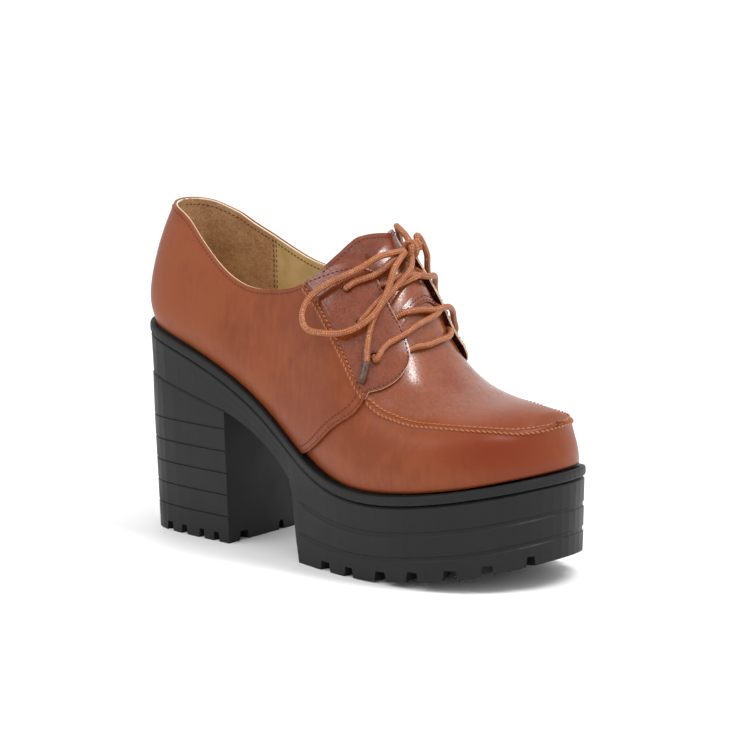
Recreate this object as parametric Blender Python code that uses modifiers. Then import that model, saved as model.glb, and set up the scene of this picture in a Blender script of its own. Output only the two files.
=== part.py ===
import math

import bmesh
import bpy
import numpy as np

# Sizes of the shoe in metres. X runs from the heel to the toe, the outer side of this right shoe is -Y.
SHOE_LENGTH = 0.240        # over the rim of the sole
BALL_WIDTH = 0.092         # over the rim of the sole at the ball of the foot
PLATFORM_HEIGHT = 0.036    # floor to the groove under the rim, at the ball
HEEL_RISE = 0.0629         # how much higher that groove is at the back of the heel
TOE_SPRING = 0.0133        # how far the tread is off the floor at the toe
RIM_HEIGHT = 0.0048        # height of the rim band above the groove
RIM_ROUND = 0.0010         # rounding of the rim's upper edge
COUNTER_HEIGHT = 0.0563    # rim to collar at the back of the heel; the upper's heights are shares of it
FEATHER_IN = 0.0030        # the leather stands this far inside the rim's edge
FEATHER_UP = 0.0009        # and this far above it before the quarter's step is added
LEATHER = 0.0020           # thickness of the upper
OVERLAY_STEP = 0.0016      # the quarter stands this far over the vamp
FACING_THICKNESS = 0.0016
TONGUE_THICKNESS = 0.0016
TONGUE_FLARE = 0.0062      # how far the free top of the tongue stands off the instep
TONGUE_SINK = 0.0002       # elsewhere it lies this far under the instep, clear of the facings
FLARE_FROM = 0.0020        # the flare starts this far behind the facing's edge
FLARE_REACH = 0.0100       # and is reached this far further back
SEAM_RIDGE = 0.0008        # height of the raised seam round the toe
INSOLE_THICKNESS = 0.0018
INSOLE_IN = 0.0070
EYELET_DIAMETER = 0.0042
EYELET_CUT = (-0.004, 0.008)   # the hole is cut from this far under the instep to this far over it
GROOVE_DEPTH = 0.0005      # thin grooves round heel and platform
GROOVE_WIDTH = 0.0009
LUG_DEPTH = 0.0045         # height of the notches between the lugs
LUG_REACH = 0.0130         # how far the notches go in from the side
BREAST_REACH = 0.0045      # and from the breast of the heel
SOLE_DRAFT = 0.0012        # the platform's foot stands this far inside the rim
HEEL_DRAFT = 0.0028
HEEL_TOP_IN = 0.0009       # the heel block's top edge stands this far inside the rim
HEEL_LENGTH = 0.0635       # back of the heel to its breast
GAP = 0.0003               # clearance between pieces that meet
LACE_DIAMETER = 0.0030
AGLET_DIAMETER = 0.0034
AGLET_LENGTH = 0.0105
KNOT_RADIUS = 0.0031       # of the turns of the knot, to the middle of the cord
KNOT_PITCH = 0.0034        # from one turn to the next

# Rim outline: share of the length, then outer and inner half width as shares of the ball width.
OUTLINE = (
    (0.03, 0.225, 0.205), (0.12, 0.310, 0.320), (0.28, 0.342, 0.300), (0.42, 0.376, 0.305),
    (0.56, 0.463, 0.375), (0.68, 0.503, 0.455), (0.80, 0.490, 0.475), (0.90, 0.385, 0.420),
    (0.97, 0.195, 0.291))
TOE_POINT = 0.054          # the foremost point lies this share of the ball width to the inner side
# Groove under the rim: share of the length, share of HEEL_RISE, share of TOE_SPRING.
ARCH = (
    (0.00, 1.000, 0.00), (0.12, 0.876, 0.00), (0.25, 0.704, 0.00), (0.38, 0.434, 0.00), (0.48, 0.181, 0.00),
    (0.56, 0.052, 0.00), (0.64, 0.000, 0.00), (0.75, 0.000, 0.075), (0.88, 0.000, 0.429),
    (1.00, 0.000, 0.865))
# Tread: share of the length, share of TOE_SPRING.
TREAD = ((0.48, 0.0), (0.55, 0.0), (0.70, 0.083), (0.80, 0.293), (0.90, 0.556), (1.00, 1.0))
HEEL_SEAM = (0.806, 0.826)  # top of the heel block at its back and at its breast, as shares of the groove's height
# Underside of the shank and back of the platform: share of the length, share of the height from floor to groove.
SHANK = ((0.300, 0.829), (0.340, 0.831), (0.380, 0.820), (0.420, 0.795), (0.448, 0.745), (0.458, 0.640))
PLATFORM_BACK = ((0.462, 0.460), (0.470, 0.200), (0.478, 0.000))
# Wall of the upper: share of the length, then for three heights the inset as a share of the ball width and the
# height as a share of the rib.
WALL = (
    (0.00, 0.008, 0.18, 0.022, 0.43, 0.070, 0.74), (0.06, 0.009, 0.18, 0.024, 0.43, 0.082, 0.74),
    (0.12, 0.010, 0.20, 0.020, 0.46, 0.058, 0.75), (0.25, 0.010, 0.24, 0.015, 0.52, 0.033, 0.80),
    (0.38, 0.010, 0.20, 0.018, 0.48, 0.034, 0.78), (0.48, 0.010, 0.16, 0.024, 0.42, 0.050, 0.73),
    (0.56, 0.009, 0.17, 0.026, 0.44, 0.058, 0.73), (0.64, 0.008, 0.22, 0.026, 0.50, 0.062, 0.78),
    (0.75, 0.008, 0.30, 0.026, 0.60, 0.068, 0.84), (0.84, 0.016, 0.32, 0.034, 0.62, 0.073, 0.85),
    (0.92, 0.031, 0.32, 0.048, 0.62, 0.071, 0.86), (1.00, 0.038, 0.32, 0.053, 0.62, 0.064, 0.87))
# Collar and seam: share of the length at the rib's foot, then inset (share of the ball width) and height (share
# of COUNTER_HEIGHT) of the upper's edge on the outer side and on the inner side.
COLLAR = (
    (0.000, 0.134, 1.000, 0.134, 1.000), (0.030, 0.148, 1.000, 0.134, 1.000),
    (0.060, 0.147, 1.000, 0.126, 0.988), (0.100, 0.130, 0.988, 0.109, 0.979),
    (0.150, 0.106, 0.938, 0.087, 0.959), (0.200, 0.081, 0.890, 0.068, 0.952),
    (0.250, 0.061, 0.840, 0.054, 0.947), (0.300, 0.050, 0.844, 0.048, 0.966),
    (0.350, 0.048, 0.927, 0.046, 1.030), (0.400, 0.054, 1.080, 0.050, 1.160),
    (0.440, 0.065, 1.222, 0.059, 1.298), (0.475, 0.082, 1.368, 0.072, 1.437))
SEAM = (
    (0.475, 0.082, 1.368, 0.072, 1.437), (0.500, 0.087, 1.350, 0.072, 1.421),
    (0.533, 0.091, 1.284, 0.074, 1.350), (0.567, 0.098, 1.155, 0.076, 1.225),
    (0.600, 0.103, 1.000, 0.079, 1.063), (0.633, 0.104, 0.820, 0.085, 0.880),
    (0.667, 0.111, 0.680, 0.091, 0.735), (0.708, 0.120, 0.608, 0.102, 0.655),
    (0.750, 0.125, 0.556, 0.113, 0.600), (0.800, 0.130, 0.524, 0.122, 0.551),
    (0.850, 0.130, 0.487, 0.124, 0.506), (0.900, 0.125, 0.439, 0.114, 0.449),
    (0.938, 0.110, 0.397, 0.093, 0.411), (0.967, 0.090, 0.366, 0.079, 0.384),
    (1.000, 0.068, 0.365, 0.068, 0.365))
# Crest of the instep and apron: share of the length, height over the rim as a share of COUNTER_HEIGHT, roundness.
CREST = (
    (0.460, 1.990, 1.6), (0.500, 2.049, 1.6), (0.525, 2.034, 1.6), (0.554, 1.980, 1.6), (0.583, 1.853, 1.6),
    (0.608, 1.730, 1.6), (0.625, 1.636, 1.6), (0.642, 1.524, 1.6), (0.675, 1.238, 1.65),
    (0.721, 0.954, 1.75), (0.762, 0.790, 1.9), (0.792, 0.713, 2.0), (0.842, 0.624, 2.1),
    (0.887, 0.568, 2.1), (0.925, 0.516, 2.1), (0.950, 0.470, 2.1), (0.965, 0.425, 2.1), (0.975, 0.378, 2.1))
CREST_SIDE = 0.065         # the crest lies this share of the ball width to the inner side
INNER_FULLNESS = 0.35      # the inner side of the instep is rounder by this
# The ribs turn about these shares of the length at heel and toe.
HEEL_FAN, TOE_FAN, FAN_ROUND = 0.1875, 0.854, 0.06
# And these shares of the ball width to the inner side of the middle, the second added between two stations.
HEEL_SIDE, TOE_SIDE = 0.022, 0.0325
SIDE_FROM, SIDE_TO, SIDE_ROUND = 0.3, 0.8, 0.1
JUNCTION = 0.475           # collar, facing and seam meet here
QUARTER_FRONT = 0.650      # the quarter's front edge meets the seam here
QUARTER_FOOT = 0.489       # and the rim here
STEP_LENGTH = 0.004        # the step down to the vamp takes this share of the length
SHEAR_FROM, SHEAR_TO = 0.30, 0.97   # the ribs lean forward between these shares of the length
EDGE_BOW, BOW_POWER = 0.23, 1.2     # and bow forward by this share of the lean, highest above the middle
APRON_BACK = 0.650         # the apron meets the tongue here
# Facing: share of the length and share of the way from the crest to the seam, along its top, front and lower edge.
FACING_TOP = ((0.477, 0.985), (0.494, 0.905), (0.524, 0.755), (0.552, 0.588), (0.572, 0.490), (0.588, 0.420))
FACING_FRONT = (
    (0.588, 0.420), (0.608, 0.440), (0.642, 0.437), (0.656, 0.420), (0.669, 0.433), (0.679, 0.472),
    (0.686, 0.555))
FACING_FOOT = ((0.649, 0.975), (0.668, 0.879), (0.680, 0.786), (0.687, 0.673), (0.686, 0.555))
EYELETS = ((0.558, 0.73), (0.599, 0.77), (0.639, 0.78))
EYELET_SIDES = 12
INNER_LIFT = 0.0016        # the inner facing stands up this much along its front
# Tongue: share of its height, half width as a share of the way to the seam, how far the sides lag behind the
# middle as a share of the length.
TONGUE = ((0.0, 0.74, 0.000), (0.35, 0.78, 0.018), (0.7, 0.86, 0.054), (1.0, 0.97, 0.092))
TONGUE_ARCH = 1.45         # its edge falls back from the middle as this power of the way to the sides
TONGUE_TOP = 0.570
TONGUE_TUCK = 5            # the flare fades towards the sides as this power of the way
FADE_FROM, FADE_REACH = 0.25, 0.50   # and on to the inner half, between these shares of the half width
# Laces: share of the length, share of the way from the crest to the seam, height of the cord's middle over the
# instep as a multiple of LACE_DIAMETER. Beyond 1 the route runs on over the quarter.
BAR = (
    (0.680, -0.37, 0.60), (0.687, -0.26, 0.60), (0.691, -0.08, 0.60), (0.690, 0.10, 0.60),
    (0.685, 0.25, 0.60), (0.677, 0.36, 0.60))
LOWER_STRANDS = (
    ((0.644, -0.79, 1.30), (0.646, -0.70, 1.32), (0.651, -0.60, 1.32), (0.658, -0.49, 1.30),
     (0.663, -0.36, 1.16), (0.666, -0.22, 0.98), (0.668, -0.07, 0.95), (0.666, 0.06, 1.05)),
    ((0.646, -0.35, 0.62), (0.651, -0.27, 0.66), (0.657, -0.15, 0.78), (0.662, -0.02, 0.95),
     (0.662, 0.14, 1.20), (0.658, 0.28, 1.60), (0.653, 0.42, 1.85), (0.649, 0.55, 1.85),
     (0.645, 0.68, 1.65), (0.642, 0.78, 1.50)))
UPPER_STRANDS = (
    ((0.618, -0.36, 0.62), (0.622, -0.28, 0.64), (0.626, -0.20, 0.70), (0.629, -0.10, 0.80),
     (0.630, 0.00, 0.92)),
    ((0.617, -0.23, 0.98), (0.622, -0.15, 0.95), (0.627, -0.05, 0.95), (0.631, 0.08, 1.10),
     (0.629, 0.22, 1.50), (0.622, 0.36, 1.85), (0.613, 0.52, 1.85), (0.606, 0.66, 1.65),
     (0.602, 0.76, 1.50)))
HOLE_STRAND = (
    (0.560, -0.735, 1.30), (0.566, -0.67, 1.33), (0.576, -0.58, 1.38), (0.587, -0.48, 1.40),
    (0.594, -0.38, 1.55), (0.597, -0.30, 1.80))
OUTER_LOOP = (
    (0.588, -0.30, 3.00), (0.580, -0.40, 2.90), (0.573, -0.50, 2.60), (0.556, -0.67, 2.20),
    (0.540, -0.79, 2.00), (0.522, -0.92, 1.95), (0.509, -1.03, 2.00), (0.505, -1.12, 2.00),
    (0.512, -1.17, 2.00), (0.528, -1.16, 2.00), (0.548, -1.09, 2.00), (0.572, -0.99, 2.00),
    (0.593, -0.87, 2.05), (0.608, -0.74, 2.20), (0.616, -0.62, 2.50), (0.617, -0.50, 2.80),
    (0.614, -0.41, 3.10), (0.608, -0.32, 3.30))
FREE_END = (
    (0.620, -0.12, 2.20), (0.622, -0.20, 1.90), (0.622, -0.30, 1.62), (0.620, -0.42, 1.50),
    (0.617, -0.56, 1.42), (0.617, -0.67, 1.38), (0.622, -0.77, 1.36), (0.627, -0.82, 1.36),
    (0.633, -0.865, 1.36))
AGLET_END = (0.638, -0.985)
INNER_LOOP = (
    (0.584, 0.04, 2.10), (0.572, 0.10, 1.45), (0.562, 0.18, 0.95), (0.555, 0.30, 0.90), (0.549, 0.44, 0.95),
    (0.542, 0.58, 1.20), (0.536, 0.70, 1.65), (0.538, 0.82, 1.95), (0.550, 0.90, 2.00), (0.566, 0.88, 2.00),
    (0.579, 0.79, 1.95), (0.587, 0.69, 1.90), (0.591, 0.59, 1.95), (0.592, 0.50, 2.30), (0.592, 0.42, 2.65),
    (0.589, 0.33, 2.85), (0.586, 0.24, 3.02), (0.586, 0.15, 3.02))
KNOT = (0.601, 0.00, 2.05)
KNOT_POINTS = 25
KNOT_WAY = (0.25, 1.0, 0.0)   # its turns follow one another this way
STRAND_SPACING, CORD_SPACING = 1.5, 2.4   # from one point of a cord to the next, in LACE_DIAMETER

# Rounded edges of the rim board and of the platform's top: inset and height in RIM_ROUND.
RIM_FOOT, RIM_TOP = ((2.0, 0.0), (0.4, 0.3), (0.0, 1.0)), ((0.0, 1.0), (0.3, 0.3), (1.0, 0.0))
SOLE_TOP = ((1.6, 0.0), (0.5, 1.0))
# Half width of a groove's flat in GROOVE_WIDTH, on the platform and behind it.
GROOVE_FLAT = (0.72, 0.22)
# Grooves round the platform: share of its height from the top.
PLATFORM_GROOVES = (0.37, 0.70)
# Notches between the lugs: share of the length, width as a share of the length.
SOLE_NOTCHES = (
    (0.563, 0.027), (0.630, 0.021), (0.712, 0.026), (0.786, 0.024), (0.861, 0.026), (0.921, 0.022),
    (0.975, 0.017))
HEEL_GROOVES = (0.205, 0.37, 0.535, 0.70, 0.87)   # share of the heel block's height at its breast
# The same for the heel, as shares of the heel's length.
HEEL_NOTCHES = ((0.325, 0.072), (0.503, 0.064), (0.703, 0.057), (0.866, 0.057))
BREAST_NOTCHES = ((-0.190, 0.065), (0.106, 0.035))   # middle and width as shares of the ball width
NOTCH_FOOT, NOTCH_TOP = 0.72, 0.42   # a notch reaches this share of its width each way at floor and top


def spline(knots, values):
    """Natural cubic through values at knots. Each value may be a row of several numbers."""
    k, y = np.asarray(knots, float), np.asarray(values, float)
    flat = y.ndim == 1
    y = y[:, None] if flat else y
    n, h = len(k), np.diff(k)
    a, b = np.zeros((n, n)), np.zeros_like(y)
    a[0, 0] = a[-1, -1] = 1.0
    for i in range(1, n - 1):
        a[i, i - 1:i + 2] = h[i - 1], 2 * (h[i - 1] + h[i]), h[i]
        b[i] = 6 * ((y[i + 1] - y[i]) / h[i] - (y[i] - y[i - 1]) / h[i - 1])
    m = np.linalg.solve(a, b)

    def at(t):
        t = np.asarray(t, float)
        i = np.clip(np.searchsorted(k, t) - 1, 0, n - 2)
        d = h[i][..., None]
        u = (t - k[i])[..., None] / d
        r = (1 - u) * y[i] + u * y[i + 1]
        r = r + d * d / 6 * (((1 - u) ** 3 - (1 - u)) * m[i] + (u ** 3 - u) * m[i + 1])
        return r[..., 0] if flat else r
    return at


def table(rows):
    """Spline through a table whose first column is the share of the length."""
    rows = np.array(rows, float)
    return spline(rows[:, 0] * SHOE_LENGTH, rows[:, 1:])


def closed_curve(points):
    p = np.array(points, float)
    p = np.vstack([p[-3:], p, p[:4]])
    s = np.concatenate([[0], np.cumsum(np.sqrt(np.linalg.norm(np.diff(p, axis=0), axis=1)))])
    f, a, b = spline(s, p), s[3], s[-4]
    return lambda t: f(a + (b - a) * np.asarray(t, float))


def rim_tables():
    outer = [(a * SHOE_LENGTH, -o * BALL_WIDTH) for a, o, _ in OUTLINE]
    inner = [(a * SHOE_LENGTH, i * BALL_WIDTH) for a, _, i in OUTLINE[::-1]]
    curve = closed_curve([(0, 0)] + outer + [(SHOE_LENGTH, TOE_POINT * BALL_WIDTH)] + inner)
    p = curve(np.linspace(0, 1, 4001))
    p[:, 0] = (p[:, 0] - p[:, 0].min()) * SHOE_LENGTH / np.ptp(p[:, 0])
    back, tip = int(np.argmin(p[:-1, 0])), int(np.argmax(p[:, 0]))
    p = np.roll(p[:-1], -back, axis=0)
    tip = (tip - back) % len(p)
    t = np.roll(p, -1, axis=0) - np.roll(p, 1, axis=0)
    t /= np.linalg.norm(t, axis=1)[:, None]
    q = np.column_stack([p, -t[:, 1], t[:, 0]])
    return q[:tip + 1], np.vstack([q[tip:], q[:1]])[::-1]


OUTER, INNER = rim_tables()
ORIGIN = np.array([SHOE_LENGTH / 2, (OUTER[:, 1].min() + INNER[:, 1].max()) / 2, 0.0])


def rim(side, x, inset=0.0):
    """Plan points of the rim, moved inward by inset."""
    t = OUTER if side < 0 else INNER
    x = np.asarray(x, float)
    y, nx, ny = (np.interp(x, t[:, 0], t[:, k]) for k in (1, 2, 3))
    n = np.hypot(nx, ny)
    return np.stack([x + inset * nx / n, y + inset * ny / n], -1)


arch, tread = table(ARCH), table(TREAD)
wall, crest, collar, seam = table(WALL), table(CREST), table(COLLAR), table(SEAM)


def groove_z(x):
    h = arch(x)
    return PLATFORM_HEIGHT + h[..., 0] * HEEL_RISE + h[..., 1] * TOE_SPRING


def rim_z(x):
    return groove_z(x) + RIM_HEIGHT


def tread_z(x):
    return np.where(x < TREAD[1][0] * SHOE_LENGTH, 0.0, np.maximum(tread(x)[..., 0], 0.0) * TOE_SPRING)


def clamp(x, low, high, r):
    """x held between two values with rounded corners of reach r."""
    x = np.where(x > high - r, np.where(x > high + r, high, high - (high + r - x) ** 2 / (4 * r)), x)
    return np.where(x < low + r, np.where(x < low - r, low, low + (x - low + r) ** 2 / (4 * r)), x)


def smooth(t):
    """Soft step from 0 to 1."""
    t = np.clip(t, 0.0, 1.0)
    return t * t * (3 - 2 * t)


def rib(side, x):
    """The points of the rib that starts at the rim's x, from its foot to the upper's edge."""
    x = np.atleast_1d(np.asarray(x, float))
    foot = rim(side, x)
    hub_x = clamp(x / SHOE_LENGTH, HEEL_FAN, TOE_FAN, FAN_ROUND) * SHOE_LENGTH
    ahead = (clamp(x / SHOE_LENGTH, SIDE_FROM, SIDE_TO, SIDE_ROUND) - SIDE_FROM) / (SIDE_TO - SIDE_FROM)
    hub = np.stack([hub_x, (HEEL_SIDE + TOE_SIDE * ahead) * BALL_WIDTH], -1)
    d = hub - foot
    d /= np.linalg.norm(d, axis=1)[:, None]
    w, base = wall(x), rim_z(x)
    edge = np.where((x < JUNCTION * SHOE_LENGTH)[:, None], collar(x), seam(x))
    edge = edge[:, :2] if side < 0 else edge[:, 2:]
    top = edge[:, 1] * COUNTER_HEIGHT
    rows = [(np.full(len(x), FEATHER_IN), np.full(len(x), FEATHER_UP))]
    rows += [(w[:, k] * BALL_WIDTH, w[:, k + 1] * top) for k in (0, 2, 4)]
    rows += [(edge[:, 0] * BALL_WIDTH, top)]
    under = OVERLAY_STEP * smooth((QUARTER_FRONT - x / SHOE_LENGTH) / (QUARTER_FRONT - QUARTER_FOOT))
    return np.stack([np.column_stack([foot + d * (i + under)[:, None], base + h]) for i, h in rows], 1)


RIB_KNOTS = np.array([0.0, 0.20, 0.45, 0.74, 1.0])


def wall_point(side, x, v):
    """Points of the wall at rim stations x (n) and shares v (n) of the way up."""
    p = rib(side, x)
    v = np.broadcast_to(np.asarray(v, float), (len(p),))
    out = np.empty((len(p), 3))
    for i in range(len(p)):
        out[i] = spline(RIB_KNOTS, p[i])(v[i])
    return out


def seam_point(side, x):
    return rib(side, x)[:, -1]


def crest_point(x):
    c = crest(x)
    return CREST_SIDE * BALL_WIDTH, rim_z(x) + c[..., 0] * COUNTER_HEIGHT, c[..., 1]


def seam_at(side, x):
    """The seam's y and z where it passes x."""
    s = np.linspace(0.45 * SHOE_LENGTH, SHOE_LENGTH, 160)
    k = seam_point(side, s)
    return np.interp(x, k[:, 0], k[:, 1]), np.interp(x, k[:, 0], k[:, 2])


def instep(x, u):
    """Instep and apron: x along the shoe, u from -1 at the outer seam over 0 at the crest to 1 at the inner seam."""
    x, u = np.broadcast_arrays(np.asarray(x, float), np.asarray(u, float))
    yc, zc, n = crest_point(x)
    yo, zo = seam_at(-1, x)
    yi, zi = seam_at(1, x)
    ye, ze = np.where(u < 0, yo, yi), np.where(u < 0, zo, zi)
    n = n + np.where(u > 0, INNER_FULLNESS, 0.0)
    a = np.abs(u)
    return np.stack([x, yc + (ye - yc) * a, ze + (zc - ze) * (1 - a ** n)], -1)


# Building

def paint(name, colour, roughness):
    m = bpy.data.materials.new(name)
    m.use_nodes = True
    b = m.node_tree.nodes["Principled BSDF"]
    b.inputs["Base Color"].default_value = (*colour, 1.0)
    b.inputs["Roughness"].default_value = roughness
    b.inputs["Metallic"].default_value = 0.0
    m.diffuse_color = (*colour, 1.0)
    return m


def new_collection(name):
    c = bpy.data.collections.new(name)
    bpy.context.scene.collection.children.link(c)
    return c


def add_mesh(name, bm, group, material=None, smooth=35.0):
    """Object from a bmesh, moved to the part's own frame."""
    bmesh.ops.recalc_face_normals(bm, faces=bm.faces)
    bmesh.ops.translate(bm, vec=tuple(-ORIGIN), verts=bm.verts)
    mesh = bpy.data.meshes.new(name)
    bm.to_mesh(mesh)
    bm.free()
    if smooth:
        mesh.shade_smooth()
        mesh.set_sharp_from_angle(angle=math.radians(smooth))
    ob = bpy.data.objects.new(name, mesh)
    group.objects.link(ob)
    if material:
        mesh.materials.append(material)
    return ob


def loop(stations, inset, z, closed_tip=True):
    """Ring round the plan: outer side from heel to toe, then the inner side back."""
    last = len(stations) - 1 if closed_tip else len(stations)
    inset = np.broadcast_to(inset, len(stations))
    plan = np.vstack([rim(-1, stations, inset), rim(1, stations[1:last], inset[1:last])[::-1]])
    heights = np.concatenate([z, z[1:last][::-1]])
    return np.column_stack([plan, heights])


def stack(rings):
    """Closed body through rings, with caps of strips from side to side."""
    bm = bmesh.new()
    rows = [[bm.verts.new(p) for p in ring] for ring in rings]
    n = len(rows[0])
    for low, high in zip(rows, rows[1:]):
        for i in range(n):
            j = (i + 1) % n
            bm.faces.new((low[i], low[j], high[j], high[i]))
    for row in (rows[0], rows[-1]):
        for i in range((n - 1) // 2 if n % 2 else n // 2):
            corners = [row[i], row[i + 1], row[(n - i - 1) % n], row[(n - i) % n]]
            bm.faces.new(list(dict.fromkeys(corners)))
    return bm


def solidify(ob, thickness):
    mod = ob.modifiers.new("thickness", "SOLIDIFY")
    mod.thickness = thickness
    mod.offset = -1.0
    mod.use_even_offset = True
    mod.use_rim = True


def cut(ob, cutter):
    mod = ob.modifiers.new("cut", "BOOLEAN")
    mod.operation = "DIFFERENCE"
    mod.solver = "EXACT"
    mod.object = cutter
    cutter.hide_render = True
    cutter.display_type = "WIRE"


def crowded(count, low=0.0, high=1.0):
    """Shares of the length that crowd together at both ends."""
    return low + (high - low) * (1 - np.cos(np.linspace(0, math.pi, count))) / 2


HEEL_STATIONS = crowded(13, 0.0, 0.12)[:7]


def rim_board(group, material):
    x = crowded(49) * SHOE_LENGTH
    low, high = groove_z(x) + GAP / 2, rim_z(x)
    rings = [loop(x, inset * RIM_ROUND, low + up * RIM_ROUND) for inset, up in RIM_FOOT]
    rings += [loop(x, inset * RIM_ROUND, high - down * RIM_ROUND) for inset, down in RIM_TOP]
    return add_mesh("rim_board", stack(rings), group, material)


def insole(group, material):
    x = crowded(49) * SHOE_LENGTH
    low = rim_z(x) + 2 * GAP
    top = low + INSOLE_THICKNESS
    return add_mesh("insole", stack([loop(x, INSOLE_IN, low), loop(x, INSOLE_IN, top)]), group, material)


def sole_bottom(x):
    """Underside of the sole: band over the heel, shank, back of the platform and tread."""
    back = np.array(((HEEL_LENGTH / SHOE_LENGTH, HEEL_SEAM[1]),) + SHANK + PLATFORM_BACK)
    share = np.interp(x / SHOE_LENGTH, back[:, 0], back[:, 1])
    ends = groove_z(np.array([0.0, HEEL_LENGTH])) * HEEL_SEAM
    over_heel = ends[0] + (ends[1] - ends[0]) * x / HEEL_LENGTH
    z = np.where(x < PLATFORM_BACK[-1][0] * SHOE_LENGTH, share * groove_z(x), tread_z(x))
    return np.where(x <= HEEL_LENGTH, over_heel, z)


def platform(group, material, cutters):
    shares = [s for s, _ in SHANK + PLATFORM_BACK]
    over_heel = [*HEEL_STATIONS, 0.09, 0.13, 0.18, 0.22, HEEL_LENGTH / SHOE_LENGTH]
    x = np.array([*over_heel, *shares, *np.linspace(0.50, 0.80, 10), *crowded(25, 0.62, 1.0)[12:]])
    x = np.unique(np.round(x, 4)) * SHOE_LENGTH
    low, high = sole_bottom(x), groove_z(x) - GAP / 2
    depth = high - low
    front = np.where(x > PLATFORM_BACK[-1][0] * SHOE_LENGTH, 1.0, 0.0)
    rings = [loop(x, inset * RIM_ROUND, high - down * RIM_ROUND) for inset, down in SOLE_TOP]
    for share in PLATFORM_GROOVES:
        z = high - share * depth
        w = GROOVE_WIDTH * np.where(front > 0, *GROOVE_FLAT)
        inset = SOLE_DRAFT * share + SOLE_TOP[-1][0] * RIM_ROUND * (1 - share)
        rings += [loop(x, inset, z + 2 * w), loop(x, inset + GROOVE_DEPTH * front, z + w),
                  loop(x, inset + GROOVE_DEPTH * front, z - w), loop(x, inset, z - 2 * w)]
    rings += [loop(x, SOLE_DRAFT, low)]
    ob = add_mesh("platform_sole", stack(rings), group, material)
    bm = bmesh.new()
    for share, width in SOLE_NOTCHES:
        for side in (-1, 1):
            base = float(tread_z(np.array([share * SHOE_LENGTH]))[0])
            notch(bm, *rim_notch(side, share * SHOE_LENGTH), width * SHOE_LENGTH, base)
    cut(ob, add_mesh("platform_notches", bm, cutters, smooth=None))
    return ob


def rim_notch(side, x):
    """Where a notch starts on the rim and which way it goes in."""
    edge = rim(side, np.array([x]))[0]
    return edge, rim(side, np.array([x]), 1.0)[0] - edge


def notch(bm, edge, inward, width, base, depth=LUG_REACH):
    """Wedge between two lugs: across the edge, wider below than above."""
    along = np.array([inward[1], -inward[0]])
    rows = []
    for reach in (-LUG_DEPTH, depth):
        mid = edge + inward * reach
        corners = [(-NOTCH_FOOT, -LUG_DEPTH), (NOTCH_FOOT, -LUG_DEPTH), (NOTCH_TOP, LUG_DEPTH)]
        corners.append((-NOTCH_TOP, LUG_DEPTH))
        rows.append([bm.verts.new((*(mid + along * half * width), base + z)) for half, z in corners])
    a, b = rows
    for i in range(4):
        j = (i + 1) % 4
        bm.faces.new((a[i], a[j], b[j], b[i]))
    bm.faces.new(a)
    bm.faces.new(b[::-1])


def heel(group, material, cutters):
    end = HEEL_LENGTH / SHOE_LENGTH
    x = np.unique(np.round([*HEEL_STATIONS, *np.linspace(0.08, end, 6)], 4)) * SHOE_LENGTH
    top = sole_bottom(x) - GAP
    flat = np.ones(len(x))
    full = float(top.min())
    rings = [loop(x, HEEL_DRAFT, 0.0 * flat, False)]
    for level in HEEL_GROOVES:
        z, w = level * full, GROOVE_WIDTH / 2
        inset = HEEL_TOP_IN + (HEEL_DRAFT - HEEL_TOP_IN) * (1 - level)
        for depth, height in ((0.0, z - w), (GROOVE_DEPTH, z - w / 2), (GROOVE_DEPTH, z + w / 2), (0.0, z + w)):
            rings.append(loop(x, inset + depth, height * flat, False))
    rings += [loop(x, HEEL_TOP_IN, top - RIM_ROUND, False), loop(x, 2 * HEEL_TOP_IN, top, False)]
    ob = add_mesh("heel_block", stack(rings), group, material)
    bm = bmesh.new()
    for share, width in HEEL_NOTCHES:
        for side in (-1, 1):
            notch(bm, *rim_notch(side, share * HEEL_LENGTH), width * HEEL_LENGTH, 0.0)
    for share, width in BREAST_NOTCHES:
        edge = np.array([HEEL_LENGTH, share * BALL_WIDTH])
        notch(bm, edge, np.array([-1.0, 0.0]), width * BALL_WIDTH, 0.0, BREAST_REACH)
    cut(ob, add_mesh("heel_notches", bm, cutters, smooth=None))
    return ob


def shear(s):
    """How far a rib's foot lies behind its top, so that one rib runs along the quarter's front."""
    reach = QUARTER_FRONT - QUARTER_FOOT
    rear = np.clip((s - SHEAR_FROM) / (QUARTER_FRONT - SHEAR_FROM), 0, 1)
    ahead = np.clip((SHEAR_TO - s) / (SHEAR_TO - QUARTER_FRONT), 0, 1)
    return reach * (1 - np.cos(math.pi * np.minimum(rear, ahead))) / 2


# Where the ribs' tops and the points on each rib and across the apron lie. The ribs either side of the quarter's
# front edge are close together, so that the step in the wall is sharp.
RIB_TOPS = (
    0.0, 0.008, 0.022, 0.042, 0.067, 0.096, 0.13, 0.17, 0.21, 0.25, 0.30, 0.35, 0.40, 0.44, JUNCTION, 0.505, 0.535,
    0.565, 0.595, 0.625, QUARTER_FRONT, QUARTER_FRONT + STEP_LENGTH, 0.675, 0.70, 0.73, 0.76, 0.79, 0.82, 0.85,
    0.88, 0.908, 0.933, 0.955, 0.973, 0.986, 0.995, 1.0)
RIB_SHARES = (0.0, 0.10, 0.22, 0.36, 0.52, 0.68, 0.83, 0.94, 1.0)
APRON_SHARES = (-0.93, -0.75, -0.5, -0.25, 0.0, 0.25, 0.5, 0.75, 0.93)


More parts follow.
